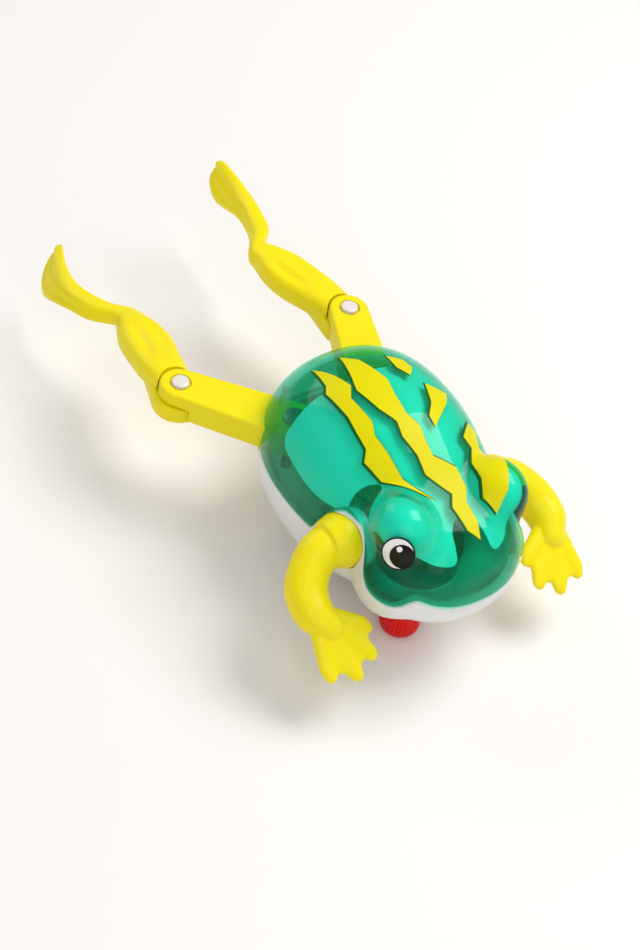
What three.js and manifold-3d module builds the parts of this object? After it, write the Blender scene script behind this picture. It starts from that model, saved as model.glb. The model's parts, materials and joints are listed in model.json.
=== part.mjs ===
// A wind-up swimming frog: a translucent dome and a belly pan around a spring motor, two arms that
// turn in collars and two hinged legs that a crank swings from side to side.
// Millimetres. The frog looks along -Y, its right side is -X, and +Z is up. Every part is placed from
// the parting plane of the two shells (z = 0); the last lines lift the whole frog onto its lowest point.
import * as THREE from "three";
import { mergeVertices } from "three/addons/utils/BufferGeometryUtils.js";
import Module from "manifold-3d";

const wasm = await Module();
wasm.setup();

// ---------- driving dimensions ----------
const WALL = 1.4; // moulded shell thickness
const GAP = 0.3; // between pieces that rest on each other
const RUN = 0.1; // radial running clearance of a shaft

// The body is a smooth union of rounded blobs: centre, half width, half length, height up and down.
const BLOBS = {
  body: { at: [0, 6.3, 0], half: [19.7, 23.6], up: 22.3, down: 18.2, power: 2.3 },
  head: { at: [0, -12.8, 0.3], half: [16.3, 18.2], up: 15, down: 10.6, power: 2.4 },
  brow: { at: [10.8, -17, 12.8], half: [5.5, 6.5], up: 5.5, down: 6, power: 2 },
  cheek: { at: [12.4, -18, -1], half: [5.5, 7], up: 6, down: 7, power: 2 },
};
const BLEND = { head: 4, brow: 2.5, cheek: 2 };
const STAR_CENTRE_Z = 1; // rays from here cut the body's surface once
const BELLY_FLAT_Z = -17.7;
const OUTSIDE = { rings: 26, spokes: 60 }; // shell mesh, pole to pole and around
const INSIDE = { rings: 16, spokes: 40 };

// Height of the shells' parting line by compass angle: degrees from the nose, height.
const PARTING = [
  [0, 0.5], [9, 0.7], [17, 1.2], [23.5, 1.9], [26.5, 1.0], [30, -0.3], [33, -0.7], [38, -0.4], [42.5, 0.3],
  [46.2, 2.2], [47.8, 4.7], [50, 7.0], [54.5, 8.7], [65, 9.1], [78, 6.2], [86, 0.2], [90, 0], [180, 0],
];

const SHOULDER = { y: -8.5, z: 3.0, face: 15.2 }; // arm axis along X and the seat its root turns on
const COLLAR_R = 6.5;
const ARM_ROOM = 0.35; // free space round the arm's root
const ARM_PEG_R = 3.4;
const ARM_PATH = [
  [15.5, -8.5, 3.0], [20.8, -8.6, 2.5], [24.0, -9.8, 0.6], [26.6, -12.6, -2.0], [27.3, -16.6, -3.7],
  [25.9, -20.2, -4.9],
];
const ARM_RADIUS = [5.3, 4.2, 4.1, 4.2, 3.9, 2.9];
const WRIST = [26.5, -18.6, -4.0];
const HAND_ALONG = [-0.39, -0.765, -0.51]; // from the wrist to the fingers
const HAND_ACROSS = [0.91, -0.28, -0.25];
const HAND_THICK = 3.4;
const TOES = [[8.5, -5.6], [12.7, -2.7], [13.4, 2.5], [10.0, 6.8]]; // tips: along, across the hand
const TOE_R = 1.35;

const HIP = { x: 9.5, y: 20 };
const THIGH = { length: 23.5, low: -1, high: 5, hip: 5.0, knee: 4.1 };
const SPLAY = { right: 40.6, left: 20.4 }; // thigh direction outward from straight back, degrees
const SWING = { out: 42.1, in: 18.9 }; // ends of the swing, the same for both legs
const KNEE_BEND = { right: 43, left: 30.4 }; // shin turned inward from the thigh's line
const LAP_Z = 2.1; // thigh end lies over the shin's end here
const HIP_BORE = 1.3;
const KNEE_BORE = 1.35;
// Shin sections: distance from the knee, offset outward, half width, bottom, top.
const CALF = [
  [2.7, 0, 3.8, -1.4, 4.9], [6, -0.2, 4.2, -1.4, 5], [9, -0.4, 4.6, -1.5, 5], [14, -1.1, 5.0, -1.6, 5],
  [19, -1.4, 4.6, -1.6, 4.9],
  [23, -1.6, 3.3, -1.3, 4.5], [25.8, -1.7, 2.5, -0.6, 4],
];
const DROOP = { from: 6, right: 0.155, left: 0.005 }; // how far a shin sinks per mm beyond the knee
const FOOT_BEND = { right: 3, left: 18 }; // degrees outward at the ankle
const FOOT_BOW = { right: 3.7, left: 1.75 }; // outward bulge half way along the foot
const FOOT_LEAN = { right: 0.3, left: -0.3 }; // outward lean of the flipper's lower edge
const FOOT = [
  [4.1, 0, 1.95, -0.1, 3.7], [9.3, 0, 1.85, -0.5, 3.6], [13.9, 0, 1.7, -1.6, 3.7],
  [18.6, 0, 1.5, -3.0, 4.1], [22, 0, 1.35, -3.3, 4.4], [24.7, 0, 1.1, -2.3, 4.6], [26.1, 0, 0.7, -0.5, 4.4],
];
const LAP_R = 5.2; // round end of the shin, under the thigh

const ARBOR = { x: -3.5, y: -15.5, r: 1.2 }; // winding axis
const KNOB = { r: 4, bottom: -22, top: -14.5, ribs: 30 };
const CRANK = { x: 0, y: 2.5, radius: 4.0, pin: 1.0 }; // crank axis and throw
const MODULE = 0.5; // gear tooth size
const TEETH = { main: 28, pinion: 10, second: 28, crank: 10, escape: 8 };
const Z = { // motor layers, bottom to top
  tray: -6.4, floor: -5.5, ratchet: -5.3, main: -4.4, second: -3.3, rim: -2.2, cover: -2.1, deck: -1.4,
  disc: -1.2, discTop: -0.4, pinTop: 0.4,
};
const LEVER = { right: [0.7, 2.3], left: [2.7, 4.3] }; // heights of the two crossed lever plates
const ESCAPE_ANGLE = 20; // degrees, direction from the second wheel to the escape wheel
const STAR = { r: 3.4, points: 12 };
const SPRING = { inner: 2.0, outer: 6.6, turns: 5, thick: 0.3, low: -1.0, high: 2.8 };
const CUP = { inner: 7.3, outer: 8.1, low: -1.3, high: 3.9 };
const SCREWS = [[10.6, 3.4], [-10.8, 3.4]]; // motor screws, beside the crank

// ---------- materials ----------
const plastic = (color, roughness = 0.3) => new THREE.MeshStandardMaterial({ color, roughness });
const metal = (color, roughness = 0.3) =>
  new THREE.MeshStandardMaterial({ color, roughness, metalness: 1 });
const GREEN = () =>
  new THREE.MeshStandardMaterial({ color: 0x12a579, roughness: 0.1, transparent: true, opacity: 0.8 });
const WHITE = () => plastic(0xe8e8e2);
const YELLOW = () => plastic(0xf2e205, 0.35);
const RED = () => plastic(0xd3040a);
const NYLON = () => plastic(0xefece0, 0.5);
const RUBBER = () => plastic(0x222222, 0.8);
const STEEL = () => metal(0xb9bcc0);
const BRASS = () => metal(0xc9a24a);

// ---------- solids ----------
const rad = THREE.MathUtils.degToRad;

// A closed three.js geometry as a manifold-3d solid.
function solid(geometry) {
  let g = geometry.index ? geometry.toNonIndexed() : geometry.clone();
  g.deleteAttribute("normal");
  g.deleteAttribute("uv");
  g = mergeVertices(g, 1e-4);
  return new wasm.Manifold(
    new wasm.Mesh({
      numProp: 3,
      vertProperties: g.attributes.position.array,
      triVerts: new Uint32Array(g.index.array),
    }),
  );
}

// A manifold-3d solid as a three.js geometry.
function geometryOf(made) {
  const m = made.getMesh();
  const points = new Float32Array(m.numVert * 3);
  for (let i = 0; i < m.numVert; i++)
    points.set(m.vertProperties.subarray(i * m.numProp, i * m.numProp + 3), i * 3);
  const g = new THREE.BufferGeometry();
  g.setAttribute("position", new THREE.BufferAttribute(points, 3));
  g.setIndex(new THREE.BufferAttribute(new Uint32Array(m.triVerts), 1));
  return g;
}

const union = (...solids) => solids.reduce((a, b) => a.add(b));
const cut = (body, ...tools) => tools.reduce((a, b) => a.subtract(b), body);

// Upright cylinder between two heights.
function rod(x, y, r, low, high, sides = 20) {
  const g = new THREE.CylinderGeometry(r, r, high - low, sides);
  g.rotateX(Math.PI / 2).translate(x, y, (low + high) / 2);
  return solid(g);
}

// Cylinder along X between two places.
function rodX(y, z, r, low, high, sides = 24) {
  const g = new THREE.CylinderGeometry(r, r, high - low, sides);
  g.rotateZ(Math.PI / 2).translate((low + high) / 2, y, z);
  return solid(g);
}

// Upright prism of a flat outline between two heights.
function prism(points, low, high) {
  const shape = new THREE.Shape(points.map(([x, y]) => new THREE.Vector2(x, y)));
  const g = new THREE.ExtrudeGeometry(shape, { depth: high - low, bevelEnabled: false });
  return solid(g.translate(0, 0, low));
}

// Solid of revolution about an upright axis: profile of [radius, height] that closes on itself.
function lathe(profile, x, y, sides = 24) {
  const points = profile.map(([r, z]) => new THREE.Vector2(r, z));
  const g = new THREE.LatheGeometry(points, sides);
  g.rotateX(Math.PI / 2).translate(x, y, 0);
  return solid(g);
}

// Convex outline round a set of circles [x, y, r].
function around(circles, steps = 20) {
  const points = [];
  for (const [x, y, r] of circles)
    for (let i = 0; i < steps; i++) {
      const a = (i / steps) * 2 * Math.PI;
      points.push([x + r * Math.cos(a), y + r * Math.sin(a)]);
    }
  points.sort((a, b) => a[0] - b[0] || a[1] - b[1]);
  const turn = (o, a, b) => (a[0] - o[0]) * (b[1] - o[1]) - (a[1] - o[1]) * (b[0] - o[0]);
  const half = (list) => {
    const out = [];
    for (const p of list) {
      while (out.length > 1 && turn(out.at(-2), out.at(-1), p) <= 1e-6) out.pop();
      out.push(p);
    }
    return out.slice(0, -1);
  };
  return [...half(points), ...half([...points].reverse())];
}

// Skin through rings of points with the same count, closed by a fan at each end.
function loft(rings) {
  const n = rings[0].length;
  const position = [];
  const index = [];
  for (const ring of rings) for (const p of ring) position.push(...p);
  for (let i = 0; i + 1 < rings.length; i++)
    for (let j = 0; j < n; j++) {
      const a = i * n + j;
      const b = i * n + ((j + 1) % n);
      index.push(a, b, b + n, a, b + n, a + n);
    }
  for (const [first, flip] of [[0, true], [(rings.length - 1) * n, false]]) {
    const centre = position.length / 3;
    const sum = [0, 0, 0];
    for (let j = 0; j < n; j++) for (let k = 0; k < 3; k++) sum[k] += position[(first + j) * 3 + k] / n;
    position.push(...sum);
    for (let j = 0; j < n; j++) {
      const a = first + j;
      const b = first + ((j + 1) % n);
      index.push(...(flip ? [b, a, centre] : [a, b, centre]));
    }
  }
  const g = new THREE.BufferGeometry();
  g.setAttribute("position", new THREE.Float32BufferAttribute(position, 3));
  g.setIndex(index);
  return solid(g);
}

// ---------- body surface ----------
function blobDistance([x, y, z], blob) {
  const dz = z - blob.at[2];
  const height = dz > 0 ? blob.up : blob.down;
  const q =
    Math.abs((x - blob.at[0]) / blob.half[0]) ** blob.power +
    Math.abs((y - blob.at[1]) / blob.half[1]) ** blob.power +
    Math.abs(dz / height) ** blob.power;
  return (q ** (1 / blob.power) - 1) * Math.min(...blob.half, blob.up, blob.down);
}

function smoothMin(a, b, k) {
  const h = Math.min(Math.max(0.5 + (0.5 * (b - a)) / k, 0), 1);
  return b * (1 - h) + a * h - k * h * (1 - h);
}

function bodyDistance([x, y, z]) {
  const side = [Math.abs(x), y, z];
  let d = smoothMin(blobDistance(side, BLOBS.body), blobDistance(side, BLOBS.head), BLEND.head);
  d = smoothMin(d, blobDistance(side, BLOBS.brow), BLEND.brow);
  return smoothMin(d, blobDistance(side, BLOBS.cheek), BLEND.cheek);
}

// Outermost point of the body along a ray, moved in by an inset.
function bodyPoint(theta, phi, inset) {
  const d = [Math.cos(theta) * Math.cos(phi), Math.sin(theta) * Math.cos(phi), Math.sin(phi)];
  const at = (t) => [d[0] * t, d[1] * t, STAR_CENTRE_Z + d[2] * t];
  let high = 45;
  while (bodyDistance(at(high)) > -inset) high -= 0.5;
  let low = high;
  high += 0.5;
  for (let i = 0; i < 20; i++) {
    const mid = (low + high) / 2;
    if (bodyDistance(at(mid)) < -inset) low = mid;
    else high = mid;
  }
  return at(low);
}

// The whole body as one closed solid, smaller by the inset.
function bodySolid(inset) {
  const grid = inset > 0 ? INSIDE : OUTSIDE;
  const made = [];
  for (let j = 1; j < grid.rings; j++) {
    const phi = -Math.PI / 2 + (j / grid.rings) * Math.PI;
    const turns = Array.from({ length: grid.spokes }, (_, i) => (i / grid.spokes) * 2 * Math.PI);
    made.push(turns.map((theta) => bodyPoint(theta, phi, inset)));
  }
  return loft(made);
}

// Height of the parting line at an angle from the nose: eased from one listed point to the next.
function partingHeight(degrees) {
  const i = PARTING.findIndex(([a]) => a >= degrees);
  if (i <= 0) return PARTING[0][1];
  const slope = (k) => {
    if (k < 1 || k > PARTING.length - 2) return 0;
    const before = (PARTING[k][1] - PARTING[k - 1][1]) / (PARTING[k][0] - PARTING[k - 1][0]);
    const after = (PARTING[k + 1][1] - PARTING[k][1]) / (PARTING[k + 1][0] - PARTING[k][0]);
    return before * after > 0 ? (2 * before * after) / (before + after) : 0;
  };
  const [a0, z0] = PARTING[i - 1];
  const [a1, z1] = PARTING[i];
  const t = (degrees - a0) / (a1 - a0);
  const rise = z0 * (1 + 2 * t) * (1 - t) ** 2 + z1 * t * t * (3 - 2 * t);
  return rise + (a1 - a0) * t * (1 - t) * ((1 - t) * slope(i - 1) - t * slope(i));
}

// Everything below the parting line, moved up or down by a shift.
function belowParting(shift) {
  const reach = 50;
  const core = 4;
  const floor = -40;
  const steps = [...Array.from({ length: 44 }, (_, i) => i * 2), 90, 135, 180];
  const all = [...steps, ...steps.slice(1, -1).map((a) => 360 - a).reverse()];
  const ring = (r, height) =>
    all.map((a) => {
      const t = rad(a - 90);
      return [r * Math.cos(t), r * Math.sin(t), height(Math.min(a, 360 - a))];
    });
  const top = (a) => partingHeight(a) + shift;
  return loft([ring(core, () => floor), ring(reach, () => floor), ring(reach, top), ring(core, top)]);
}

// ---------- shells ----------
const place = (side, x) => (side === "right" ? -x : x);
const sides = ["right", "left"];

// Outward and backward unit vectors of a direction that leans outward by an angle from straight back.
function leaning(side, degrees) {
  const s = place(side, Math.sin(rad(degrees)));
  const c = Math.cos(rad(degrees));
  return { along: [s, c], out: [place(side, c), place(side, -1) * s] };
}

const hipAt = (side) => [place(side, HIP.x), HIP.y];
const offset = ([x, y], dir, t) => [x + dir[0] * t, y + dir[1] * t];

// Free space that a thigh sweeps in the shell wall.
function thighSlot(side) {
  const margin = 0.5;
  const circles = [[...hipAt(side), THIGH.hip + margin]];
  for (const angle of [SWING.in, (SWING.in + SWING.out) / 2, SWING.out])
    circles.push([...offset(hipAt(side), leaning(side, angle).along, 17), THIGH.hip - 0.6 + margin]);
  return prism(around(circles), THIGH.low - GAP, THIGH.high + GAP);
}

// Cylinder on the arm's axis between two distances from the middle of the frog.
function armRod(side, r, near, far) {
  const ends = [place(side, near), place(side, far)].sort((a, b) => a - b);
  return rodX(SHOULDER.y, SHOULDER.z, r, ...ends);
}

const armHole = (side) =>
  union(armRod(side, ARM_PEG_R + RUN, 8, 30), armRod(side, ARM_RADIUS[0] + ARM_ROOM, SHOULDER.face, 30));

function topShell() {
  const shell = cut(bodySolid(0), bodySolid(WALL), belowParting(GAP / 2));
  return cut(shell, ...sides.map(armHole), ...sides.map(thighSlot));
}

function bottomShell() {
  const outer = bodySolid(0);
  const inner = bodySolid(WALL);
  const lid = new THREE.BoxGeometry(80, 80, 60).translate(0, 0, BELLY_FLAT_Z - 30);
  const pan = cut(outer, inner).intersect(belowParting(-GAP / 2));
  const flat = outer.intersect(solid(lid.clone().translate(0, 0, WALL)));
  // Under the dome a collar stops at its inside; below the parting line it joins the pan.
  const room = union(bodySolid(WALL + GAP), outer.intersect(belowParting(-GAP / 2)));
  const collars = sides.map((side) => armRod(side, COLLAR_R, 13.5, 30).intersect(room));
  const hipPosts = sides.map((side) => rod(...hipAt(side), 2.3, -13.6, THIGH.low - GAP));
  const motorPosts = SCREWS.map(([x, y]) => rod(x, y, 2.2, -15.6, Z.tray - GAP));
  const seat = rod(ARBOR.x, ARBOR.y, 3.4, -14.2, -8.6);
  const posts = union(...hipPosts, ...motorPosts).intersect(outer);
  const body = union(pan, flat, posts, seat, ...collars);
  const hipHoles = sides.map((side) => rod(...hipAt(side), 1.2 + 0.05, -9, 0));
  const screwHoles = SCREWS.map(([x, y]) => rod(x, y, 0.95, -12, 0));
  const shaft = rod(ARBOR.x, ARBOR.y, ARBOR.r + RUN, -20, 0);
  const sealSeat = rod(ARBOR.x, ARBOR.y, 2.5, -15, -12.6);
  const holes = [...sides.map(armHole), ...hipHoles, ...screwHoles, shaft, sealSeat];
  return cut(body, solid(lid), ...holes, ...sides.map(thighSlot));
}

// ---------- arms ----------
function armSolid(side) {
  const mirror = ([x, y, z]) => new THREE.Vector3(place(side, x), y, z);
  const curve = new THREE.CatmullRomCurve3(ARM_PATH.map(mirror));
  const steps = 14;
  const rings = [];
  for (let i = 0; i <= steps; i++) {
    const t = i / steps;
    const u = t * (ARM_RADIUS.length - 1);
    const k = Math.min(Math.floor(u), ARM_RADIUS.length - 2);
    const r = ARM_RADIUS[k] + (ARM_RADIUS[k + 1] - ARM_RADIUS[k]) * (u - k);
    const centre = curve.getPoint(t);
    const along = i === 0 ? new THREE.Vector3(place(side, 1), 0, 0) : curve.getTangent(t);
    const up = new THREE.Vector3(0, 0, 1).addScaledVector(along, -along.z).normalize();
    const across = new THREE.Vector3().crossVectors(up, along);
    const ring = [];
    for (let j = 0; j < 14; j++) {
      const a = (j / 14) * 2 * Math.PI;
      const p = centre.clone().addScaledVector(across, -r * Math.cos(a)).addScaledVector(up, r * Math.sin(a));
      ring.push(p.toArray());
    }
    rings.push(ring.reverse());
  }
  const tube = loft(rings);
  const peg = armRod(side, ARM_PEG_R, 12.6, 16.5);
  const head = armRod(side, ARM_PEG_R + 0.7, 11.8, 13.1);
  return union(tube, peg, head, handSolid(side));
}

// Webbed hand: a flat palm with round-ended toes in the plane of the hand.
function handSolid(side) {
  const toe = ([along, across]) =>
    around([[3, across * 0.3, 2.6], [along - TOE_R, across * 0.93, TOE_R]], 12);
  const flat = (points) => prism(points, -HAND_THICK / 2, HAND_THICK / 2);
  const web = flat(around([[0.5, 0, 3.0], [8.2, -3.0, 2.0], [9.6, 0.2, 1.4], [9.0, 3.6, 2.0]], 12));
  const made = geometryOf(union(web, ...TOES.map((tip) => flat(toe(tip)))));
  const along = new THREE.Vector3(...HAND_ALONG).normalize();
  const across = new THREE.Vector3(...HAND_ACROSS).normalize();
  const normal = new THREE.Vector3().crossVectors(across, along).negate();
  const frame = new THREE.Matrix4().makeBasis(along, across, normal).setPosition(...WRIST);
  made.applyMatrix4(frame);
  if (side === "left") return solid(made);
  made.scale(-1, 1, 1);
  const corner = made.index.array; // a mirrored triangle is wound the other way
  for (let i = 0; i < corner.length; i += 3) {
    const second = corner[i + 1];
    corner[i + 1] = corner[i + 2];
    corner[i + 2] = second;
  }
  return solid(made);
}

// ---------- legs ----------
const kneeAt = (side) => offset(hipAt(side), leaning(side, SPLAY[side]).along, THIGH.length);

function thighSolid(side) {
  const hip = hipAt(side);
  const knee = kneeAt(side);
  const [low, high] = [THIGH.low, THIGH.high];
  const bar = prism(around([[...hip, THIGH.hip], [...knee, THIGH.knee]], 28), low, high);
  const relief = rod(...knee, LAP_R + GAP, low - 1, LAP_Z + GAP / 2, 32);
  const countersink = rod(...knee, 2.2, high - 0.5, high + 1, 24);
  // The lever points at the crank when the leg is in the middle of its swing.
  const mean = (SWING.in + SWING.out) / 2;
  const turn = place(side, 1) * rad(mean - SPLAY[side]);
  const toCrank = new THREE.Vector2(CRANK.x - hip[0], CRANK.y - hip[1]);
  toCrank.rotateAround(new THREE.Vector2(), turn);
  const reach = toCrank.length();
  const dir = [toCrank.x / reach, toCrank.y / reach];
  const [leverLow, leverHigh] = LEVER[side];
  const lever = prism(around([[...hip, 3.2], [...offset(hip, dir, reach + 4.5), 2.6]]), leverLow, leverHigh);
  const slotEnds = [reach - 4.5, reach + 4.5].map((t) => [...offset(hip, dir, t), CRANK.pin + 0.25]);
  const slot = prism(around(slotEnds), low - 1, high + 1);
  const body = union(cut(bar, relief), lever);
  return cut(body, slot, rod(...hip, HIP_BORE, -5, 9), rod(...knee, KNEE_BORE, -5, 9), countersink);
}

function shinSolid(side) {
  const knee = kneeAt(side);
  const axis = leaning(side, SPLAY[side] - KNEE_BEND[side]);
  const ankle = offset(knee, axis.along, CALF.at(-1)[0]);
  const footAxis = leaning(side, SPLAY[side] - KNEE_BEND[side] + FOOT_BEND[side]);
  const section = (start, frame, [s, shift, half, low, high], sink, lean = 0) => {
    const centre = offset(offset(start, frame.along, s), frame.out, shift);
    const ring = [];
    for (let j = 0; j < 14; j++) {
      const a = (j / 14) * 2 * Math.PI;
      const corner = (v) => Math.sign(v) * Math.abs(v) ** 0.7;
      const z = (low + high) / 2 + ((high - low) / 2) * corner(Math.sin(a));
      ring.push([...offset(centre, frame.out, half * corner(Math.cos(a)) + lean * (2 - z)), z - sink]);
    }
    return side === "right" ? ring : ring.reverse();
  };
  const sink = (s) => DROOP[side] * Math.max(0, s - DROOP.from);
  const bow = (s) => FOOT_BOW[side] * Math.sin((s / FOOT.at(-1)[0]) * Math.PI);
  const rings = CALF.map((row) => section(knee, axis, row, sink(row[0])));
  for (const [s, shift, ...size] of FOOT) {
    const row = [s, shift + bow(s), ...size];
    rings.push(section(ankle, footAxis, row, sink(CALF.at(-1)[0] + s), FOOT_LEAN[side]));
  }
  const leg = cut(loft(rings), rod(...knee, THIGH.knee + GAP, -3, THIGH.high + 1, 28));
  const lapTop = LAP_Z - GAP / 2;
  const root = offset(knee, axis.along, 6.5);
  const lap = prism(around([[...knee, LAP_R], [...root, 3.6]], 28), THIGH.low - 0.5, lapTop);
  return cut(union(leg, lap), rod(...knee, KNEE_BORE, -5, 9));
}

const kneePin = (side) =>
  lathe(
    [
      [0, -2.6], [1.9, -2.6], [1.9, -1.8], [1.2, -1.8], [1.2, 4.75], [1.75, 4.75], [1.75, 5.2],
      [1.3, 5.5], [0, 5.55],
    ],
    ...kneeAt(side),
  );

const hipPin = (side) =>
  lathe([[0, -8], [1.15, -8], [1.15, 5.3], [2.3, 5.3], [2.3, 5.8], [1.4, 6.2], [0, 6.2]], ...hipAt(side));

// ---------- motor ----------
// Spur gear outline with straight-sided teeth; one tooth points along the phase angle.
function gearOutline(teeth, x, y, phase) {
  const r = (teeth * MODULE) / 2;
  const pitch = (2 * Math.PI) / teeth;
  const points = [];
  const corners = [[-0.25, -1.2], [-0.17, 0], [-0.08, 0.8], [0.08, 0.8], [0.17, 0], [0.25, -1.2]];
  for (let i = 0; i < teeth; i++)
    for (const [turn, height] of corners) {
      const a = phase + (i + turn) * pitch;
      const q = r + height * MODULE;
      points.push([x + q * Math.cos(a), y + q * Math.sin(a)]);
    }
  return points;
}

const pitchRadius = (teeth) => (teeth * MODULE) / 2;
const between = (a, b) => Math.atan2(b[1] - a[1], b[0] - a[0]);

// Axis of the second wheel: in mesh with the main gear and with the crank pinion.
function secondAxis() {
  const a = [ARBOR.x, ARBOR.y];
  const c = [CRANK.x, CRANK.y];
  const ra = pitchRadius(TEETH.main) + pitchRadius(TEETH.pinion);
  const rc = pitchRadius(TEETH.second) + pitchRadius(TEETH.crank);
  const d = Math.hypot(c[0] - a[0], c[1] - a[1]);
  const t = (ra * ra - rc * rc + d * d) / (2 * d);
  const h = Math.sqrt(ra * ra - t * t);
  const u = [(c[0] - a[0]) / d, (c[1] - a[1]) / d];
  return [a[0] + u[0] * t - u[1] * h, a[1] + u[1] * t + u[0] * h];
}

const SECOND = secondAxis();
const ESCAPE_REACH = pitchRadius(TEETH.second) + pitchRadius(TEETH.escape);
const ESCAPE = offset(SECOND, [Math.cos(rad(ESCAPE_ANGLE)), Math.sin(rad(ESCAPE_ANGLE))], ESCAPE_REACH);
const PALLET = offset(ESCAPE, [Math.cos(rad(-20)), Math.sin(rad(-20))], 5.4);

// Phase of a driven gear whose gap meets the driver's tooth, seen from the driven axis.
const meshPhase = (teeth, from, to, driverPhase, driverTeeth) => {
  const line = between(from, to);
  const driverStep = (2 * Math.PI) / driverTeeth;
  const lead = (((line - driverPhase) / driverStep) % 1) + 1;
  const step = (2 * Math.PI) / teeth;
  return line + Math.PI + (0.5 + (lead % 1)) * step;
};

const ARBOR_AT = [ARBOR.x, ARBOR.y];
const CRANK_AT = [CRANK.x, CRANK.y];
const MAIN_PHASE = 0;
const PINION_PHASE = meshPhase(TEETH.pinion, ARBOR_AT, SECOND, MAIN_PHASE, TEETH.main);
const SECOND_PHASE = 0;
const CRANK_PHASE = meshPhase(TEETH.crank, SECOND, CRANK_AT, SECOND_PHASE, TEETH.second);
const ESCAPE_PHASE = meshPhase(TEETH.escape, SECOND, ESCAPE, SECOND_PHASE, TEETH.second);
const GEAR_THICK = 0.9;

const mainGear = () =>
  cut(
    union(
      prism(gearOutline(TEETH.main, ...ARBOR_AT, MAIN_PHASE), Z.main, Z.main + GEAR_THICK),
      rod(...ARBOR_AT, 1.9, Z.main, Z.rim - 0.1),
    ),
    rod(...ARBOR_AT, ARBOR.r + 0.05, -10, 5),
  );

const ratchetWheel = () => {
  const points = [];
  for (let i = 0; i < 12; i++) {
    const a = (i / 12) * 2 * Math.PI;
    points.push([ARBOR.x + 3.0 * Math.cos(a), ARBOR.y + 3.0 * Math.sin(a)]);
    const b = a + rad(26);
    points.push([ARBOR.x + 2.3 * Math.cos(b), ARBOR.y + 2.3 * Math.sin(b)]);
  }
  return cut(prism(points, Z.ratchet, Z.main - 0.15), rod(...ARBOR_AT, ARBOR.r + 0.05, -10, 5));
};

// Springy pawl under the main gear, its tip in the ratchet's teeth.
const clickPawl = () => {
  const at = (r, degrees) => [ARBOR.x + r * Math.cos(rad(degrees)), ARBOR.y + r * Math.sin(rad(degrees))];
  const arc = [0, 20, 40, 60].map((a) => at(5.4 - (a / 60) * 1.6, a));
  const back = [60, 40, 20, 0].map((a) => at(4.75 - (a / 60) * 1.5, a));
  return union(prism([...arc, ...back], -5.2, -4.6), rod(...at(5.1, 0), 0.9, -5.2, -4.6, 12));
};

const secondWheel = () =>
  cut(
    union(
      prism(gearOutline(TEETH.pinion, ...SECOND, PINION_PHASE), Z.main - 0.1, Z.second + 0.2),
      prism(gearOutline(TEETH.second, ...SECOND, SECOND_PHASE), Z.second, Z.second + GEAR_THICK),
    ),
    rod(...SECOND, 0.7, -10, 5, 16),
  );

const crankWheel = () => {
  const pin = offset(CRANK_AT, [1, 0], CRANK.radius);
  return cut(
    union(
      prism(gearOutline(TEETH.crank, ...CRANK_AT, CRANK_PHASE), Z.second - 0.2, Z.rim - 0.15),
      rod(...CRANK_AT, 1.9, Z.rim - 0.3, Z.disc + 0.1),
      rod(...CRANK_AT, CRANK.radius + 1.4, Z.disc, Z.discTop, 28),
      rod(...pin, CRANK.pin, Z.disc, Z.pinTop, 14),
    ),
    rod(...CRANK_AT, 0.8, -10, 5, 16),
  );
};

const escapeWheel = () => {
  const points = [];
  for (let i = 0; i < STAR.points; i++) {
    const a = (i / STAR.points) * 2 * Math.PI;
    const b = a + Math.PI / STAR.points;
    points.push([ESCAPE[0] + STAR.r * Math.cos(a), ESCAPE[1] + STAR.r * Math.sin(a)]);
    points.push([ESCAPE[0] + (STAR.r - 1) * Math.cos(b), ESCAPE[1] + (STAR.r - 1) * Math.sin(b)]);
  }
  return cut(
    union(
      prism(points, Z.ratchet, Z.main - 0.1),
      prism(gearOutline(TEETH.escape, ...ESCAPE, ESCAPE_PHASE), Z.main - 0.2, Z.rim - 0.2),
    ),
    rod(...ESCAPE, 0.6, -10, 5, 16),
  );
};

// Rocking anchor beside the escape wheel; its two fingers stop just short of the star's points.
const pallet = () => {
  const line = between(PALLET, ESCAPE);
  const toward = [Math.cos(line), Math.sin(line)];
  const across = [-toward[1], toward[0]];
  const at = (t, u) => offset(offset(PALLET, toward, t), across, u);
  const points = [
    at(-1.2, 0), at(-0.8, -1.4), at(2.6, -3.9), at(3.8, -3.8), at(3.5, -3.0), at(0.9, -0.9),
    at(0.9, 0.9), at(3.5, 3.0), at(3.8, 3.8), at(2.6, 3.9), at(-0.8, 1.4),
  ];
  return cut(prism(points, Z.ratchet, Z.main - 0.1), rod(...PALLET, 0.6, -10, 5, 16));
};

const TRAY_CIRCLES = [[...ARBOR_AT, 8.4], [...SECOND, 8.3], [...CRANK_AT, 5.2], [...PALLET, 3.4]];
const AXLES = [["second_axle", SECOND, 0.6], ["crank_axle", CRANK_AT, 0.7], ["escape_axle", ESCAPE, 0.5],
  ["pallet_axle", PALLET, 0.5]];
const axleHoles = () => AXLES.map(([, at, r]) => rod(...at, r + 0.03, -10, 5, 16));

const motorTray = () => {
  const inner = TRAY_CIRCLES.map(([x, y, r]) => [x, y, r - 0.8]);
  const tabs = SCREWS.map(([x, y]) => prism(around([[x, y, 2.3], [x * 0.4, y - 2, 3]]), Z.tray, Z.floor));
  const box = cut(prism(around(TRAY_CIRCLES, 28), Z.tray, Z.rim), prism(around(inner, 28), Z.floor, 2));
  const screwHoles = SCREWS.map(([x, y]) => rod(x, y, 1.05, -12, 0));
  const shaft = rod(...ARBOR_AT, ARBOR.r + RUN, -10, 5);
  // The tray's lower edge is rounded off to the pan it sits in.
  const fitted = union(box, ...tabs).intersect(bodySolid(WALL + GAP));
  return cut(fitted, ...axleHoles(), ...screwHoles, shaft);
};

const motorCover = () =>
  cut(
    prism(around(TRAY_CIRCLES, 28), Z.cover, Z.deck),
    rod(...ARBOR_AT, ARBOR.r + RUN, -10, 5),
    rod(...CRANK_AT, 2.05, -10, 5),
    ...axleHoles().filter((_, i) => i !== 1),
  );

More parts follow.
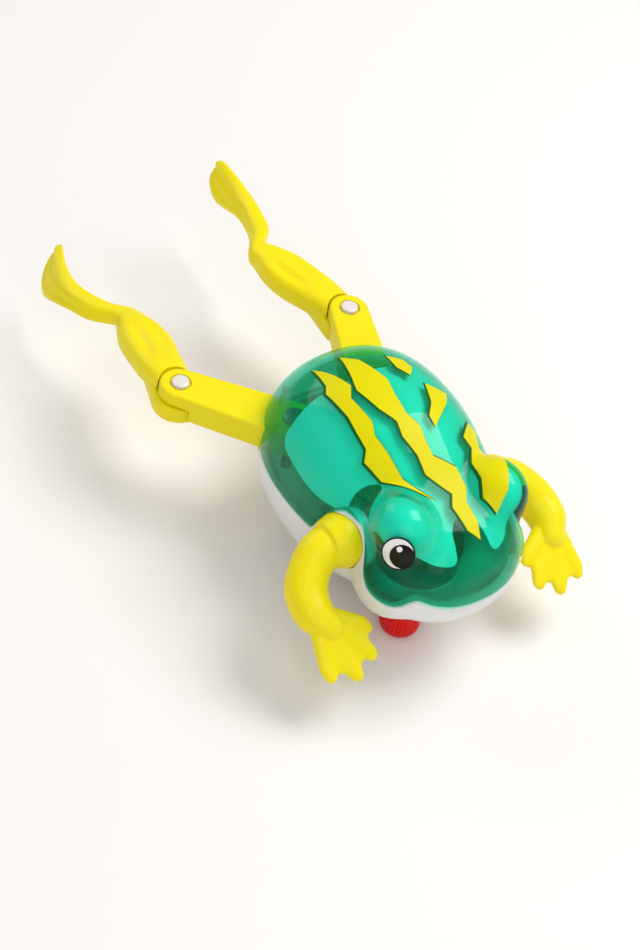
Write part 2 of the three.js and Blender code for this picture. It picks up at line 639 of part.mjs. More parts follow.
const springCup = () =>
  cut(
    rod(...ARBOR_AT, CUP.outer, CUP.low, CUP.high, 32),
    rod(...ARBOR_AT, CUP.inner, CUP.low - 1, CUP.high - 0.8, 32),
    rod(...ARBOR_AT, ARBOR.r + RUN, -10, 9),
  );

// Flat spring wound in a spiral round the arbor.
const mainspring = () => {
  const steps = SPRING.turns * 18;
  const edge = (shift) =>
    Array.from({ length: steps + 1 }, (_, i) => {
      const a = (i / 18) * 2 * Math.PI;
      const r = SPRING.inner + ((SPRING.outer - SPRING.inner) * i) / steps + shift;
      return [ARBOR.x + r * Math.cos(a), ARBOR.y + r * Math.sin(a)];
    });
  return prism([...edge(SPRING.thick), ...edge(0).reverse()], SPRING.low, SPRING.high);
};

const knob = () => {
  const points = [];
  for (let i = 0; i < KNOB.ribs * 2; i++) {
    const a = (i / KNOB.ribs) * Math.PI;
    const r = i % 2 ? KNOB.r - 0.25 : KNOB.r;
    points.push([ARBOR.x + r * Math.cos(a), ARBOR.y + r * Math.sin(a)]);
  }
  const [low, high] = [KNOB.bottom, KNOB.top];
  const core = KNOB.r - 0.25;
  const cap = [[0, low], [core - 1.1, low], [core - 0.4, low + 0.35], [core, low + 1.2], [0, low + 1.6]];
  const body = union(prism(points, low + 1, high), lathe(cap, ...ARBOR_AT, KNOB.ribs));
  return cut(body, rod(...ARBOR_AT, ARBOR.r + 0.05, low + 3, 0));
};

const shaftSeal = () => {
  const [mid, ring] = [1.95, 0.5];
  const profile = [];
  for (let i = 0; i <= 10; i++) {
    const a = (i / 10) * 2 * Math.PI;
    profile.push([mid + ring * Math.cos(a), -13.4 + ring * Math.sin(a)]);
  }
  return lathe(profile, ...ARBOR_AT, 20);
};

const motorScrew = ([x, y]) =>
  cut(
    lathe([[0, -11.5], [0.85, -10.8], [0.85, -5.4], [1.8, -5.4], [1.8, -4.8], [1.2, -4.3], [0, -4.3]], x, y),
    solid(new THREE.BoxGeometry(0.5, 2.2, 1).translate(x, y, -4.1)),
    solid(new THREE.BoxGeometry(2.2, 0.5, 1).translate(x, y, -4.1)),
  );

// ---------- assembly ----------
const frog = new THREE.Group();

function add(name, made, material) {
  const mesh = new THREE.Mesh(geometryOf(made), material);
  mesh.name = name;
  frog.add(mesh);
}

add("top_shell", topShell(), GREEN());
add("bottom_shell", bottomShell(), WHITE());
for (const side of sides) {
  add("arm_" + side, armSolid(side), YELLOW());
  add("thigh_" + side, thighSolid(side), YELLOW());
  add("shin_" + side, shinSolid(side), YELLOW());
  add("knee_pin_" + side, kneePin(side), WHITE());
  add("hip_pin_" + side, hipPin(side), STEEL());
}
add("winding_knob", knob(), RED());
add("winding_arbor", rod(...ARBOR_AT, ARBOR.r, KNOB.bottom + 3.2, 4.6), STEEL());
add("shaft_seal", shaftSeal(), RUBBER());
add("ratchet_wheel", ratchetWheel(), BRASS());
add("click_pawl", clickPawl(), STEEL());
add("main_gear", mainGear(), NYLON());
add("mainspring", mainspring(), STEEL());
add("spring_cup", springCup(), STEEL());
add("second_wheel", secondWheel(), NYLON());
add("crank_wheel", crankWheel(), NYLON());
add("escape_wheel", escapeWheel(), NYLON());
add("escape_pallet", pallet(), NYLON());
add("motor_tray", motorTray(), WHITE());
add("motor_cover", motorCover(), WHITE());
for (const [name, at, r] of AXLES) {
  const top = name === "crank_axle" ? Z.discTop : Z.deck;
  add(name, rod(...at, r, Z.tray, top, 16), STEEL());
}
SCREWS.forEach((at, i) => add("motor_screw_" + (i + 1), motorScrew(at), STEEL()));

// The origin is under the middle of the frog's box, at its lowest point.
const box = new THREE.Box3().setFromObject(frog);
const middle = box.getCenter(new THREE.Vector3());
frog.position.set(-middle.x, -middle.y, -box.min.z);

export default frog;
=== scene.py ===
"""A plastic wind-up swimming frog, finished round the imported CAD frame.

Shapes are worked out in millimetres from the middle of the shells' parting plane. The frog looks
along -Y, its right side is -X and +Z is up. make_piece moves them into the frame, in metres.
"""
import json
import math

import bmesh
import bpy
import numpy as np
from mathutils import Matrix, Vector
from mathutils.geometry import delaunay_2d_cdt


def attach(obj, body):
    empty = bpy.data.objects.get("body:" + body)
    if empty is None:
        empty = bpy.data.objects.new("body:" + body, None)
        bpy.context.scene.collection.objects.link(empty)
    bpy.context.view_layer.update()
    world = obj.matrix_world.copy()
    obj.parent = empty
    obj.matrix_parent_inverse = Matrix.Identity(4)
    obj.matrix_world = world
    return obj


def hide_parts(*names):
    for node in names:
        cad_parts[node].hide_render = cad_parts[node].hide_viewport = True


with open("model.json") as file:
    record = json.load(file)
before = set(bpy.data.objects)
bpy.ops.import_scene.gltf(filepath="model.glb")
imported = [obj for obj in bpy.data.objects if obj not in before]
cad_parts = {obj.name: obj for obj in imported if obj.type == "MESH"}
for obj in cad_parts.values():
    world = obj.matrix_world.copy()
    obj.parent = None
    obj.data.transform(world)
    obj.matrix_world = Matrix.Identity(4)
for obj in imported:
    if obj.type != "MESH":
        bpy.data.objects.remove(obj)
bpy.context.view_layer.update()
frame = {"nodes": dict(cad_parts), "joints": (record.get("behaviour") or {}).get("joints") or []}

MM = 0.001
HIP_FROM_PARTING = Vector((-9.5, 20.0, 2.0)) * MM
JOINTS = {joint["name"]: joint for joint in frame["joints"]}
SHIFT = Vector(JOINTS["hip_right_swing"]["pos_m"]) - HIP_FROM_PARTING

# ---------- driving dimensions, the same as the CAD's ----------
WALL = 1.4
GAP = 0.3
SKIN = 0.06  # the fine shells lie this far inside the CAD's outer surface

BLOBS = {
    "body": {"at": (0, 6.3, 0), "half": (19.7, 23.6), "up": 22.3, "down": 18.2, "power": 2.3},
    "head": {"at": (0, -12.8, 0.3), "half": (16.3, 18.2), "up": 15, "down": 10.6, "power": 2.4},
    "brow": {"at": (10.8, -17, 12.8), "half": (5.5, 6.5), "up": 5.5, "down": 6, "power": 2},
    "cheek": {"at": (12.4, -18, -1), "half": (5.5, 7), "up": 6, "down": 7, "power": 2},
}
BLEND = {"head": 4, "brow": 2.5, "cheek": 2}  # how widely each eases into the body, in this order
STAR_CENTRE_Z = 1  # where the rays that find the body's surface start
HALVINGS = 30  # of each ray
BELLY_FLAT_Z = -17.7

# Height of the parting line by compass angle: degrees from the nose, height.
PARTING = (
    (0, 0.5), (9, 0.7), (17, 1.2), (23.5, 1.9), (26.5, 1.0), (30, -0.3), (33, -0.7), (38, -0.4),
    (42.5, 0.3), (46.2, 2.2), (47.8, 4.7), (50, 7.0), (54.5, 8.7), (65, 9.1), (78, 6.2), (86, 0.2),
    (90, 0), (180, 0),
)
RIM = 0.35  # radius of the shells' rims along the parting line
OUTSIDE = 30  # a distance that is clear of the body on every side
FIT = 0.1  # free space round a turning part

SHOULDER = {"y": -8.5, "z": 3.0, "face": 15.2}
COLLAR = {"r": 6.5, "inner": 13.5, "spare": 0.1, "bore_from": 8}
ARM_ROOM = 0.35  # free space round the arm's root
ARM_PEG = {"r": 3.4, "inner": 12.6, "overlap": 1.0, "lip": 0.7, "lip_inner": 11.8, "lip_outer": 13.1}
ARM_PATH = (
    (15.5, -8.5, 3.0), (20.8, -8.6, 2.5), (24.0, -9.8, 0.6), (26.6, -12.6, -2.0), (27.3, -16.6, -3.7),
    (25.9, -20.2, -4.9),
)
ARM_RADIUS = (5.3, 4.2, 4.1, 4.2, 3.9, 2.9)
# The arm's fuller root: distance from the middle of the frog, radius.
ARM_ROOT = (
    (SHOULDER["face"] + 0.2, 5.2), (SHOULDER["face"] + 0.6, 5.5), (17.8, 5.5), (20.6, 4.5),
)
WRIST = (26.5, -18.6, -4.0)
HAND_ALONG = (-0.39, -0.765, -0.51)
HAND_ACROSS = (0.91, -0.28, -0.25)
TOES = ((8.5, -5.6), (12.7, -2.7), (13.4, 2.5), (10.0, 6.8))  # ahead of the wrist, to its side
TOE_R = 1.35
TOE_SPREAD = {"palm": 0.25, "knuckle": 0.86, "tip": 0.93}
HAND = {"flatness": 0.62, "palm": 2.0, "palm_r": 2.6, "knuckle": 1.2, "knuckle_r": 1.75}
WEB = {"short": 2.9, "dip": 0.97, "palm_r": 2.4, "edge_r": 1.4}

HIP = {"x": 9.5, "y": 20}
THIGH = {"length": 23.5, "low": -1, "high": 5, "hip": 5.0, "knee": 4.1}
SPLAY = {"right": 40.6, "left": 20.4}
SWING = {"out": 42.1, "in": 18.9}
SLOT = {"room": 0.5, "reach": 17, "taper": 0.6}  # room for a swinging thigh in the shells
KNEE_BEND = {"right": 43, "left": 30.4}
LAP_Z = 2.1  # middle of the gap between the thigh and the shin's round end under it
LAP_R = 5.2
LAP = {"root": 6.5, "root_r": 3.6, "below": 0.5, "edge": 0.6}
LEVER = {"right": (0.7, 2.3), "left": (2.7, 4.3)}  # bottom and top of each inner lever
LEVER_END = {"hip_r": 3.2, "r": 2.6, "beyond": 4.5, "room": 0.25}
CRANK = {"x": 0, "y": 2.5, "pin": 1.0}
BORE = {"hip": 1.3, "knee": 1.35, "head": 2.2, "head_depth": 0.5}
THROUGH = (-5, 9)  # heights clear of a leg, for its bores

# Calf sections: distance from the knee, offset outward, half width, bottom, top.
CALF = (
    (2.7, 0, 3.8, -1.4, 4.9), (6, -0.2, 4.2, -1.4, 5), (9, -0.4, 4.6, -1.5, 5),
    (14, -1.1, 5.0, -1.6, 5), (19, -1.4, 4.6, -1.6, 4.9), (23, -1.6, 3.3, -1.3, 4.5),
    (25.8, -1.7, 2.5, -0.6, 4),
)
DROOP = {"from": 6, "right": 0.155, "left": 0.005}  # how far a shin sinks per mm beyond the knee
# Foot sections: distance from the ankle, offset outward, half width, bottom, top.
FOOT = (
    (4.1, 0, 1.95, -0.1, 3.7), (9.3, 0, 1.85, -0.5, 3.6), (13.9, 0, 1.7, -1.6, 3.7),
    (18.6, 0, 1.5, -3.0, 4.1), (22, 0, 1.35, -3.3, 4.4), (24.7, 0, 1.1, -2.3, 4.6),
    (26.1, 0, 0.7, -0.5, 4.4),
)
FOOT_BEND = {"right": 3, "left": 18}
FOOT_BOW = {"right": 3.7, "left": 1.75}  # outward bulge half way along the foot
FOOT_LEAN = {"right": 0.55, "left": -0.35}  # sideways shift per mm of height
LEAN_Z = 2  # height about which a foot leans
SECTION_POWER = 0.75  # 1 makes a section an ellipse, less makes it squarer
# Two grooves along the top of the calf, then the ridges that fan out over the flipper.
GROOVE = {
    "depth": 0.75, "width": 0.2, "at": (-0.42, 0.3), "from": 9, "ease_in": 3, "to": 21, "ease_out": 4,
}
RIDGES = ((0.74, 0.26, 1.0), (0.05, 0.17, 0.75), (-0.6, 0.2, 0.7))  # height, spread, strength
FLIPPER = {
    "from": 6, "ease": 7, "hollow": 0.45, "scallop": 0.9, "scallop_from": 17.5, "scallop_ease": 8,
}
TIP = {"rings": (0.8, 0.45), "bulge": 0.55, "flatter": 0.5}  # the rings that close a foot

ARBOR = {"x": -3.5, "y": -15.5, "r": 1.2, "bore": (-20, 0)}
NECK = {"r": 3.4, "z": (-14.2, -8.6), "seal_r": 2.5, "seal_z": (-15, -12.6)}
KNOB = {"r": 4, "bottom": -22, "top": -14.5, "ribs": 30, "rib": 0.25, "bore": 3.2}
# Round end of the knob: radius, height above its flat.
KNOB_END = ((2.2, 0.0), (3.1, 0.12), (3.55, 0.5), (3.8, 1.0), (4.0, 1.6))


# ---------- body surface ----------
def blob_distance(p, blob):
    """Rough distance of points from an egg whose top and bottom halves differ in height."""
    dz = p[..., 2] - blob["at"][2]
    height = np.where(dz > 0, blob["up"], blob["down"])
    q = (
        np.abs((p[..., 0] - blob["at"][0]) / blob["half"][0]) ** blob["power"]
        + np.abs((p[..., 1] - blob["at"][1]) / blob["half"][1]) ** blob["power"]
        + np.abs(dz / height) ** blob["power"]
    )
    return (q ** (1 / blob["power"]) - 1) * min(*blob["half"], blob["up"], blob["down"])


def smooth_min(a, b, k):
    """The smaller of two distances, eased over a width k where they are close."""
    h = np.clip(0.5 + 0.5 * (b - a) / k, 0, 1)
    return b * (1 - h) + a * h - k * h * (1 - h)


def body_distance(p):
    """Rough distance of points from the body: below zero inside it."""
    side = np.stack([np.abs(p[..., 0]), p[..., 1], p[..., 2]], axis=-1)
    d = blob_distance(side, BLOBS["body"])
    for name, width in BLEND.items():
        d = smooth_min(d, blob_distance(side, BLOBS[name]), width)
    return d


def outward_root(start, direction, inset, reach=45.0):
    """Outermost points of the body along rays, moved in by an inset."""
    low = np.zeros(direction.shape[:-1])
    high = np.full(direction.shape[:-1], reach)
    inset = np.broadcast_to(inset, low.shape)
    for _ in range(HALVINGS):
        middle = (low + high) / 2
        inside = body_distance(start + direction * middle[..., None]) < -inset
        low = np.where(inside, middle, low)
        high = np.where(inside, high, middle)
    return start + direction * low[..., None]


def ray_direction(theta, phi):
    """Unit vectors at an angle round from +X and an angle up."""
    return np.stack([np.cos(theta) * np.cos(phi), np.sin(theta) * np.cos(phi), np.sin(phi)], axis=-1)


def surface_by_angle(theta, phi, inset):
    """Points of the body along rays from one middle point."""
    start = np.zeros(theta.shape + (3,)) + np.array([0, 0, STAR_CENTRE_Z])
    return outward_root(start, ray_direction(theta, phi), inset)


def surface_by_height(theta, height, inset):
    """Points of the body at a height, found along level rays from the middle."""
    start = np.stack([np.zeros_like(theta), np.zeros_like(theta), height], axis=-1)
    return outward_root(start, ray_direction(theta, np.zeros_like(theta)), inset)


def parting_height(theta):
    """Height of the parting line at angles measured from +X, as the CAD eases it."""
    compass = np.degrees(np.abs((theta + math.pi / 2 + math.pi) % (2 * math.pi) - math.pi))
    x = np.array([row[0] for row in PARTING], float)
    z = np.array([row[1] for row in PARTING], float)
    rise = np.diff(z) / np.diff(x)
    slope = np.zeros_like(x)
    before, after = rise[:-1], rise[1:]
    same = before * after > 0
    slope[1:-1][same] = (2 * before * after / (before + after))[same]
    i = np.clip(np.searchsorted(x, compass) - 1, 0, len(x) - 2)
    run = x[i + 1] - x[i]
    t = (compass - x[i]) / run
    ease = z[i] * (1 + 2 * t) * (1 - t) ** 2 + z[i + 1] * t * t * (3 - 2 * t)
    return ease + run * t * (1 - t) * ((1 - t) * slope[i] - t * slope[i + 1])


# ---------- meshes ----------
def in_frame(points):
    """Points in millimetres as places in the frame."""
    return [Vector(p) * MM + SHIFT for p in np.asarray(points, float).reshape(-1, 3)]


def make_piece(name, points, faces, materials, sharp=35.0):
    """A new object from points in millimetres, smooth but for edges sharper than an angle."""
    mesh = bpy.data.meshes.new(name)
    mesh.from_pydata(in_frame(points), [], faces)
    piece = bpy.data.objects.new(name, mesh)
    bpy.context.scene.collection.objects.link(piece)
    for material in materials:
        mesh.materials.append(material)
    finish_shading(piece, sharp)
    return piece


def finish_shading(piece, sharp=35.0):
    """Smooth shading with sharp edges where faces meet at more than an angle, in degrees."""
    mesh = piece.data
    mesh.polygons.foreach_set("use_smooth", [True] * len(mesh.polygons))
    mesh.set_sharp_from_angle(angle=math.radians(sharp))
    mesh.update()


def grid_faces(rows, columns):
    """Faces between rings that follow each other."""
    faces = []
    for i in range(rows - 1):
        for j in range(columns):
            a = i * columns + j
            b = i * columns + (j + 1) % columns
            faces.append((a, b, b + columns, a + columns))
    return faces


def apply_modifiers(piece):
    """Turns what the modifiers show into the piece's own mesh."""
    bpy.context.view_layer.update()
    graph = bpy.context.evaluated_depsgraph_get()
    made = bpy.data.meshes.new_from_object(piece.evaluated_get(graph))
    old = piece.data
    piece.modifiers.clear()
    piece.data = made
    made.name = old.name
    bpy.data.meshes.remove(old)


def cut_with(piece, shape, operation="DIFFERENCE"):
    """Takes a shape, as points and faces, off a piece, or adds it."""
    cutter = make_piece("cutter", *shape, [])
    modifier = piece.modifiers.new("boolean", "BOOLEAN")
    modifier.operation = operation
    modifier.object = cutter
    modifier.solver = "EXACT"
    apply_modifiers(piece)
    mesh = cutter.data
    bpy.data.objects.remove(cutter)
    bpy.data.meshes.remove(mesh)


def loft(rings, cap=True):
    """Points and faces of a skin through rings of equal count, closed by a face at each end."""
    rings = [np.asarray(ring, float) for ring in rings]
    n = len(rings[0])
    points = np.concatenate(rings)
    faces = grid_faces(len(rings), n)
    if cap:
        faces.append(tuple(range(n))[::-1])
        faces.append(tuple(range((len(rings) - 1) * n, len(rings) * n)))
    return points, faces


def lathe(profile, x, y, sides=64):
    """Points and faces of a turned solid; the profile runs from the bottom of the axis to its top."""
    turn = np.arange(sides) / sides * 2 * math.pi
    rings = []
    for r, z in profile[1:-1]:
        rings.append(np.stack([x + r * np.cos(turn), y + r * np.sin(turn), np.full(sides, z)], axis=-1))
    points, faces = loft(rings, cap=False)
    bottom, top = len(points), len(points) + 1
    points = np.concatenate([points, [(x, y, profile[0][1]), (x, y, profile[-1][1])]])
    last = (len(rings) - 1) * sides
    for j in range(sides):
        faces.append((bottom, (j + 1) % sides, j))
        faces.append((top, last + j, last + (j + 1) % sides))
    return points, faces


def around(circles, steps=48):
    """Convex outline round a set of circles (x, y, r), anticlockwise."""
    points = []
    for x, y, r in circles:
        for i in range(steps):
            a = i / steps * 2 * math.pi
            points.append((x + r * math.cos(a), y + r * math.sin(a)))
    points = sorted(set((round(x, 5), round(y, 5)) for x, y in points))

    def half(row):
        out = []
        for p in row:
            while len(out) > 1:
                (ax, ay), (bx, by) = out[-2], out[-1]
                if (bx - ax) * (p[1] - ay) - (by - ay) * (p[0] - ax) > 1e-7:
                    break
                out.pop()
            out.append(p)
        return out[:-1]

    return half(points) + half(points[::-1])


def shrink(outline, amount):
    """A convex outline moved inwards."""
    p = np.asarray(outline, float)
    ahead = np.roll(p, -1, axis=0) - p
    behind = p - np.roll(p, 1, axis=0)
    normal = np.stack([-(ahead + behind)[:, 1], (ahead + behind)[:, 0]], axis=-1)
    normal /= np.linalg.norm(normal, axis=1, keepdims=True)
    return p + normal * amount


def prism(outline, low, high, round_edge=0.0, steps=5):
    """Points and faces of an upright prism whose top and bottom edges are rounded."""
    rings = []
    ends = [i / steps * math.pi / 2 for i in range(steps + 1)] if round_edge else [math.pi / 2]
    for a in ends:
        flat = shrink(outline, round_edge * (1 - math.sin(a)))
        rings.append(np.c_[flat, np.full(len(flat), low + round_edge * (1 - math.cos(a)))])
    for a in reversed(ends):
        flat = shrink(outline, round_edge * (1 - math.sin(a)))
        rings.append(np.c_[flat, np.full(len(flat), high - round_edge * (1 - math.cos(a)))])
    return loft(rings)


def rod_x(side, r, near, far, sides=96, end=None):
    """A cylinder or cone on the arm's axis between two distances from the middle of the frog."""
    turn = np.arange(sides) / sides * 2 * math.pi
    rings = []
    for x, radius in ((near, r), (far, r if end is None else end)):
        ring = [np.full(sides, place(side, x)), SHOULDER["y"] + radius * np.cos(turn)]
        ring.append(SHOULDER["z"] + radius * np.sin(turn))
        rings.append(np.stack(ring, axis=-1))
    points, faces = loft(rings)
    return points, faces if side == "left" else [face[::-1] for face in faces]


# ---------- places ----------
SIDES = ("right", "left")


def place(side, x):
    """A distance from the middle of the frog as an X on one side of it."""
    return -x if side == "right" else x


def leaning(side, degrees):
    """Unit vectors along a direction that leans outward from straight back, and across it, outward."""
    s, c = place(side, math.sin(math.radians(degrees))), math.cos(math.radians(degrees))
    return np.array([s, c]), np.array([place(side, c), place(side, -1) * s])


def hip_at(side):
    return np.array([place(side, HIP["x"]), HIP["y"]])


def knee_at(side):
    return hip_at(side) + leaning(side, SPLAY[side])[0] * THIGH["length"]


# ---------- shells ----------
def cylinder(x, y, r, low, high, sides=64):
    return prism(around([(x, y, r)], sides), low, high)


def thigh_slot(side):
    """The space that a thigh sweeps through the shells."""
    hip = hip_at(side)
    circles = [(*hip, THIGH["hip"] + SLOT["room"])]
    for angle in (SWING["in"], (SWING["in"] + SWING["out"]) / 2, SWING["out"]):
        end = hip + leaning(side, angle)[0] * SLOT["reach"]
        circles.append((*end, THIGH["hip"] - SLOT["taper"] + SLOT["room"]))
    return prism(around(circles), THIGH["low"] - GAP, THIGH["high"] + GAP)


def half_shell(name, upper, material, columns=360, outer_rows=110, inner_rows=80):
    """One hollow shell: its outside, a rounded rim along the parting line, and its inside."""
    up = 1 if upper else -1
    pole = up * math.pi / 2
    theta = np.arange(columns) / columns * 2 * math.pi
    edge = parting_height(theta) + up * GAP / 2
    rounding = np.linspace(0, math.pi / 2, 6)

    def at_rim(inset, rise):
        return surface_by_height(theta, edge + up * rise, inset)

    turns = [(RIM * (1 - math.cos(a)), RIM * (1 - math.sin(a))) for a in rounding]
    outside_rim = [at_rim(SKIN + away, rise) for away, rise in turns]
    inside_rim = [at_rim(WALL - away, rise) for away, rise in turns[::-1]]

    def skin_rows(last, inset, rows):
        """Rows from the rim's last ring to just short of the pole."""
        start = np.arctan2(last[:, 2] - STAR_CENTRE_Z, np.hypot(last[:, 0], last[:, 1]))
        made = []
        for k in range(1, rows):
            phi = start + (pole - start) * k / rows
            made.append(surface_by_angle(theta, phi, inset))
        return made

    outside = skin_rows(outside_rim[0], SKIN, outer_rows)
    inside = skin_rows(inside_rim[-1], WALL, inner_rows)
    rings = outside[::-1] + outside_rim + inside_rim + inside
    points = np.concatenate(rings)
    faces = grid_faces(len(rings), columns)
    tips = surface_by_angle(np.zeros(2), np.full(2, pole * 0.99999), np.array([SKIN, WALL]))
    first, last = len(points), (len(rings) - 1) * columns
    points = np.concatenate([points, tips])
    for j in range(columns):
        faces.append((first, (j + 1) % columns, j))
        faces.append((first + 1, last + j, last + (j + 1) % columns))
    if upper:
        faces = [face[::-1] for face in faces]
    return make_piece(name, points, faces, [material])


def top_shell(material):
    """The dome, with half of each arm hole and the slots for the legs."""
    shell = half_shell("dome", True, material)
    for side in SIDES:
        cut_with(shell, rod_x(side, ARM_RADIUS[0] + ARM_ROOM, SHOULDER["face"], OUTSIDE))
        cut_with(shell, thigh_slot(side))
    finish_shading(shell)
    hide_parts("top_shell")
    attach(shell, "body")


def bottom_shell(material):
    """The belly pan, with a flat to stand on, the arm collars and the neck for the winding shaft."""
    shell = half_shell("belly_pan", False, material)
    cut_with(shell, prism(around([(0, 5, OUTSIDE)]), BELLY_FLAT_Z - 5, BELLY_FLAT_Z + SKIN))
    for side in SIDES:
        collar_end = SHOULDER["face"] + COLLAR["spare"]
        cut_with(shell, rod_x(side, COLLAR["r"], COLLAR["inner"], collar_end), "UNION")
        cut_with(shell, rod_x(side, ARM_PEG["r"] + FIT, COLLAR["bore_from"], OUTSIDE))
        cut_with(shell, rod_x(side, ARM_RADIUS[0] + ARM_ROOM, SHOULDER["face"], OUTSIDE))
        cut_with(shell, thigh_slot(side))
    arbor = (ARBOR["x"], ARBOR["y"])
    cut_with(shell, cylinder(*arbor, NECK["r"], *NECK["z"]), "UNION")
    cut_with(shell, cylinder(*arbor, ARBOR["r"] + FIT, *ARBOR["bore"]))
    cut_with(shell, cylinder(*arbor, NECK["seal_r"], *NECK["seal_z"]))
    finish_shading(shell)
    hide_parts("bottom_shell")
    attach(shell, "body")


# ---------- prints: thin patches that follow the body ----------
SUNK = SKIN + 0.02  # depth of a print's back, just inside the shell's surface
STRIPE_DEPTH = SKIN - 0.05
# Dark green under each stripe: its printed outline, grown all round, plus painted shadow from the shift
# to one side.
STRIPE_OUTLINE_AND_SHADOW = {"width": 0.28, "shift": (-0.22, 0.12), "depth": SKIN - 0.02}
COAT_DEPTH = (WALL - 0.3, WALL - 0.22)
DOME_STEP = 1.2  # spacing of the points of a print
EYE_STEP = 0.3


def inside_outline(points, outline):
    """True for each point inside a closed outline."""
    x, y = points[:, 0], points[:, 1]
    inside = np.zeros(len(points), bool)
    for (ax, ay), (bx, by) in zip(outline, np.roll(outline, -1, axis=0)):
        if ay == by:
            continue
        crosses = (ay > y) != (by > y)
        inside ^= crosses & (x < (bx - ax) * (y - ay) / (by - ay) + ax)
    return inside


def subdivide(outline, step):
    """A closed outline with a point at about every step."""
    out = []
    for a, b in zip(outline, np.roll(outline, -1, axis=0)):
        n = max(1, int(np.linalg.norm(b - a) / step))
        out.extend(a + (b - a) * k / n for k in range(n))
    return np.array(out)


def patch(name, outline, project, step, outer, inner, material):
    """A closed thin solid over a flat outline, projected onto the body at two depths."""
    outline = subdivide(np.asarray(outline, float), step)
    low, high = outline.min(axis=0), outline.max(axis=0)
    xs, ys = np.arange(low[0], high[0], step), np.arange(low[1], high[1], step)
    grid = np.stack(np.meshgrid(xs, ys), axis=-1).reshape(-1, 2)
    grid = grid[inside_outline(grid, outline)]
    nearest = np.min(np.linalg.norm(grid[:, None] - outline[None], axis=2), axis=1)
    grid = grid[nearest > step * 0.6]
    flat = [Vector(p) for p in np.concatenate([outline, grid])]
    ring = [(i, (i + 1) % len(outline)) for i in range(len(outline))]
    flat, _, triangles, *_ = delaunay_2d_cdt(flat, ring, [], 1, 1e-6)
    flat = np.array([tuple(p) for p in flat])
    n = len(flat)
    points = np.concatenate([project(flat, outer), project(flat, inner)])
    faces = []
    border = {}
    for t in triangles:
        a, b, c = t
        (ax, ay), (bx, by), (cx, cy) = flat[a], flat[b], flat[c]
        if (bx - ax) * (cy - ay) - (by - ay) * (cx - ax) < 0:
            a, b, c = c, b, a
        faces.append((a, b, c))
        faces.append((n + c, n + b, n + a))
        for u, v in ((a, b), (b, c), (c, a)):
            if border.pop((v, u), None) is None:
                border[(u, v)] = True
    faces.extend((v, u, n + u, n + v) for u, v in border)
    return make_piece(name, points, faces, [material], sharp=40)


def dome_plane(points, inset):
    """From a flat map of the dome, in degrees from straight up, to its surface."""
    away = np.radians(np.linalg.norm(points, axis=1))
    return surface_by_angle(np.arctan2(points[:, 1], points[:, 0]), math.pi / 2 - away, inset)


def dome_map(points):
    """From points of the dome to its flat map."""
    p = np.asarray(points, float) - np.array([0, 0, STAR_CENTRE_Z])
    away = np.degrees(np.arctan2(np.hypot(p[:, 0], p[:, 1]), p[:, 2]))
    turn = np.arctan2(p[:, 1], p[:, 0])
    return np.stack([away * np.cos(turn), away * np.sin(turn)], axis=-1)


def from_above(outline):
    """Where an outline seen from straight above falls on the dome."""
    p = np.asarray(outline, float)
    start = np.c_[p, np.full(len(p), float(STAR_CENTRE_Z))]
    return outward_root(start, np.tile([0.0, 0.0, 1.0], (len(p), 1)), SKIN)


def smooth_loop(points, steps=6):
    """A closed Catmull-Rom curve through the points."""
    p = np.asarray(points, float)
    before, after, beyond = np.roll(p, 1, axis=0), np.roll(p, -1, axis=0), np.roll(p, -2, axis=0)
    out = []
    for i in range(len(p)):
        for k in range(steps):
            t = k / steps
            a = -0.5 * t**3 + t * t - 0.5 * t
            b = 1.5 * t**3 - 2.5 * t * t + 1
            c = -1.5 * t**3 + 2 * t * t + 0.5 * t
            d = 0.5 * t**3 - 0.5 * t * t
            out.append(a * before[i] + b * p[i] + c * after[i] + d * beyond[i])
    return np.array(out)


# Wavy lightning stripes down the back, seen from above.
STRIPES = {
    "stripe_long_right": (
        (-7.9, 19.8), (-6.6, 15.1), (-5.8, 10.6), (-7.4, 8.0), (-7.0, 1.5), (-8.0, -1.3), (-7.5, -4.9),
        (-7.1, -10.1), (-5.7, -12.7), (-3.2, -16.4), (-4.7, -14.7), (-7.8, -11.3), (-10.5, -8.5),
        (-11.6, -4.0), (-10.4, -2.4), (-10.3, 1.3), (-9.9, 4.9), (-10.1, 12.1), (-9.1, 13.6),
    ),
    "stripe_middle": (
        (-2.4, 19.2), (-0.3, 16.2), (1.0, 8.6), (0.1, 4.6), (-0.4, -0.1), (0.7, -3.1), (0.3, -6.0),
        (0.3, -8.9), (3.9, -11.9), (3.8, -15.7), (2.0, -18.5), (2.0, -22.5), (0.9, -25.6),
        (-0.8, -23.5), (-1.2, -18.6), (0.3, -16.2), (-2.8, -11.3), (-2.6, -7.9), (-3.6, -3.8),
        (-3.0, -0.8), (-4.5, 2.9), (-5.6, 9.0), (-4.3, 13.0),
    ),
    "stripe_leaf": ((5.2, 15.0), (7.9, 13.0), (8.2, 10.3), (6.1, 8.1), (4.8, 10.9)),
    "stripe_diamond": ((7.8, 5.5), (11.5, 2.9), (9.4, 0.2), (3.6, -4.3), (3.7, -1.9), (6.0, 0.8)),
    "stripe_long_left": (
        (12.6, -3.4), (14.0, -4.7), (12.3, -8.3), (13.1, -14.5), (11.0, -18.6), (9.4, -20.9),
        (6.4, -22.5), (5.3, -19.2), (6.7, -16.2), (7.4, -12.1), (9.8, -8.8), (9.0, -6.7),
    ),
}


def widened(outline, amount, shift):
    """A closed outline grown outward all round and moved a little."""
    p = np.array(outline, float)
    along = np.roll(p, -1, axis=0) - np.roll(p, 1, axis=0)
    area = np.sum(p[:, 0] * np.roll(p[:, 1], -1) - np.roll(p[:, 0], -1) * p[:, 1])
    normal = np.stack([along[:, 1], -along[:, 0]], axis=-1) * np.sign(area)
    normal /= np.linalg.norm(normal, axis=1, keepdims=True)
    return p + normal * amount + np.array(shift)


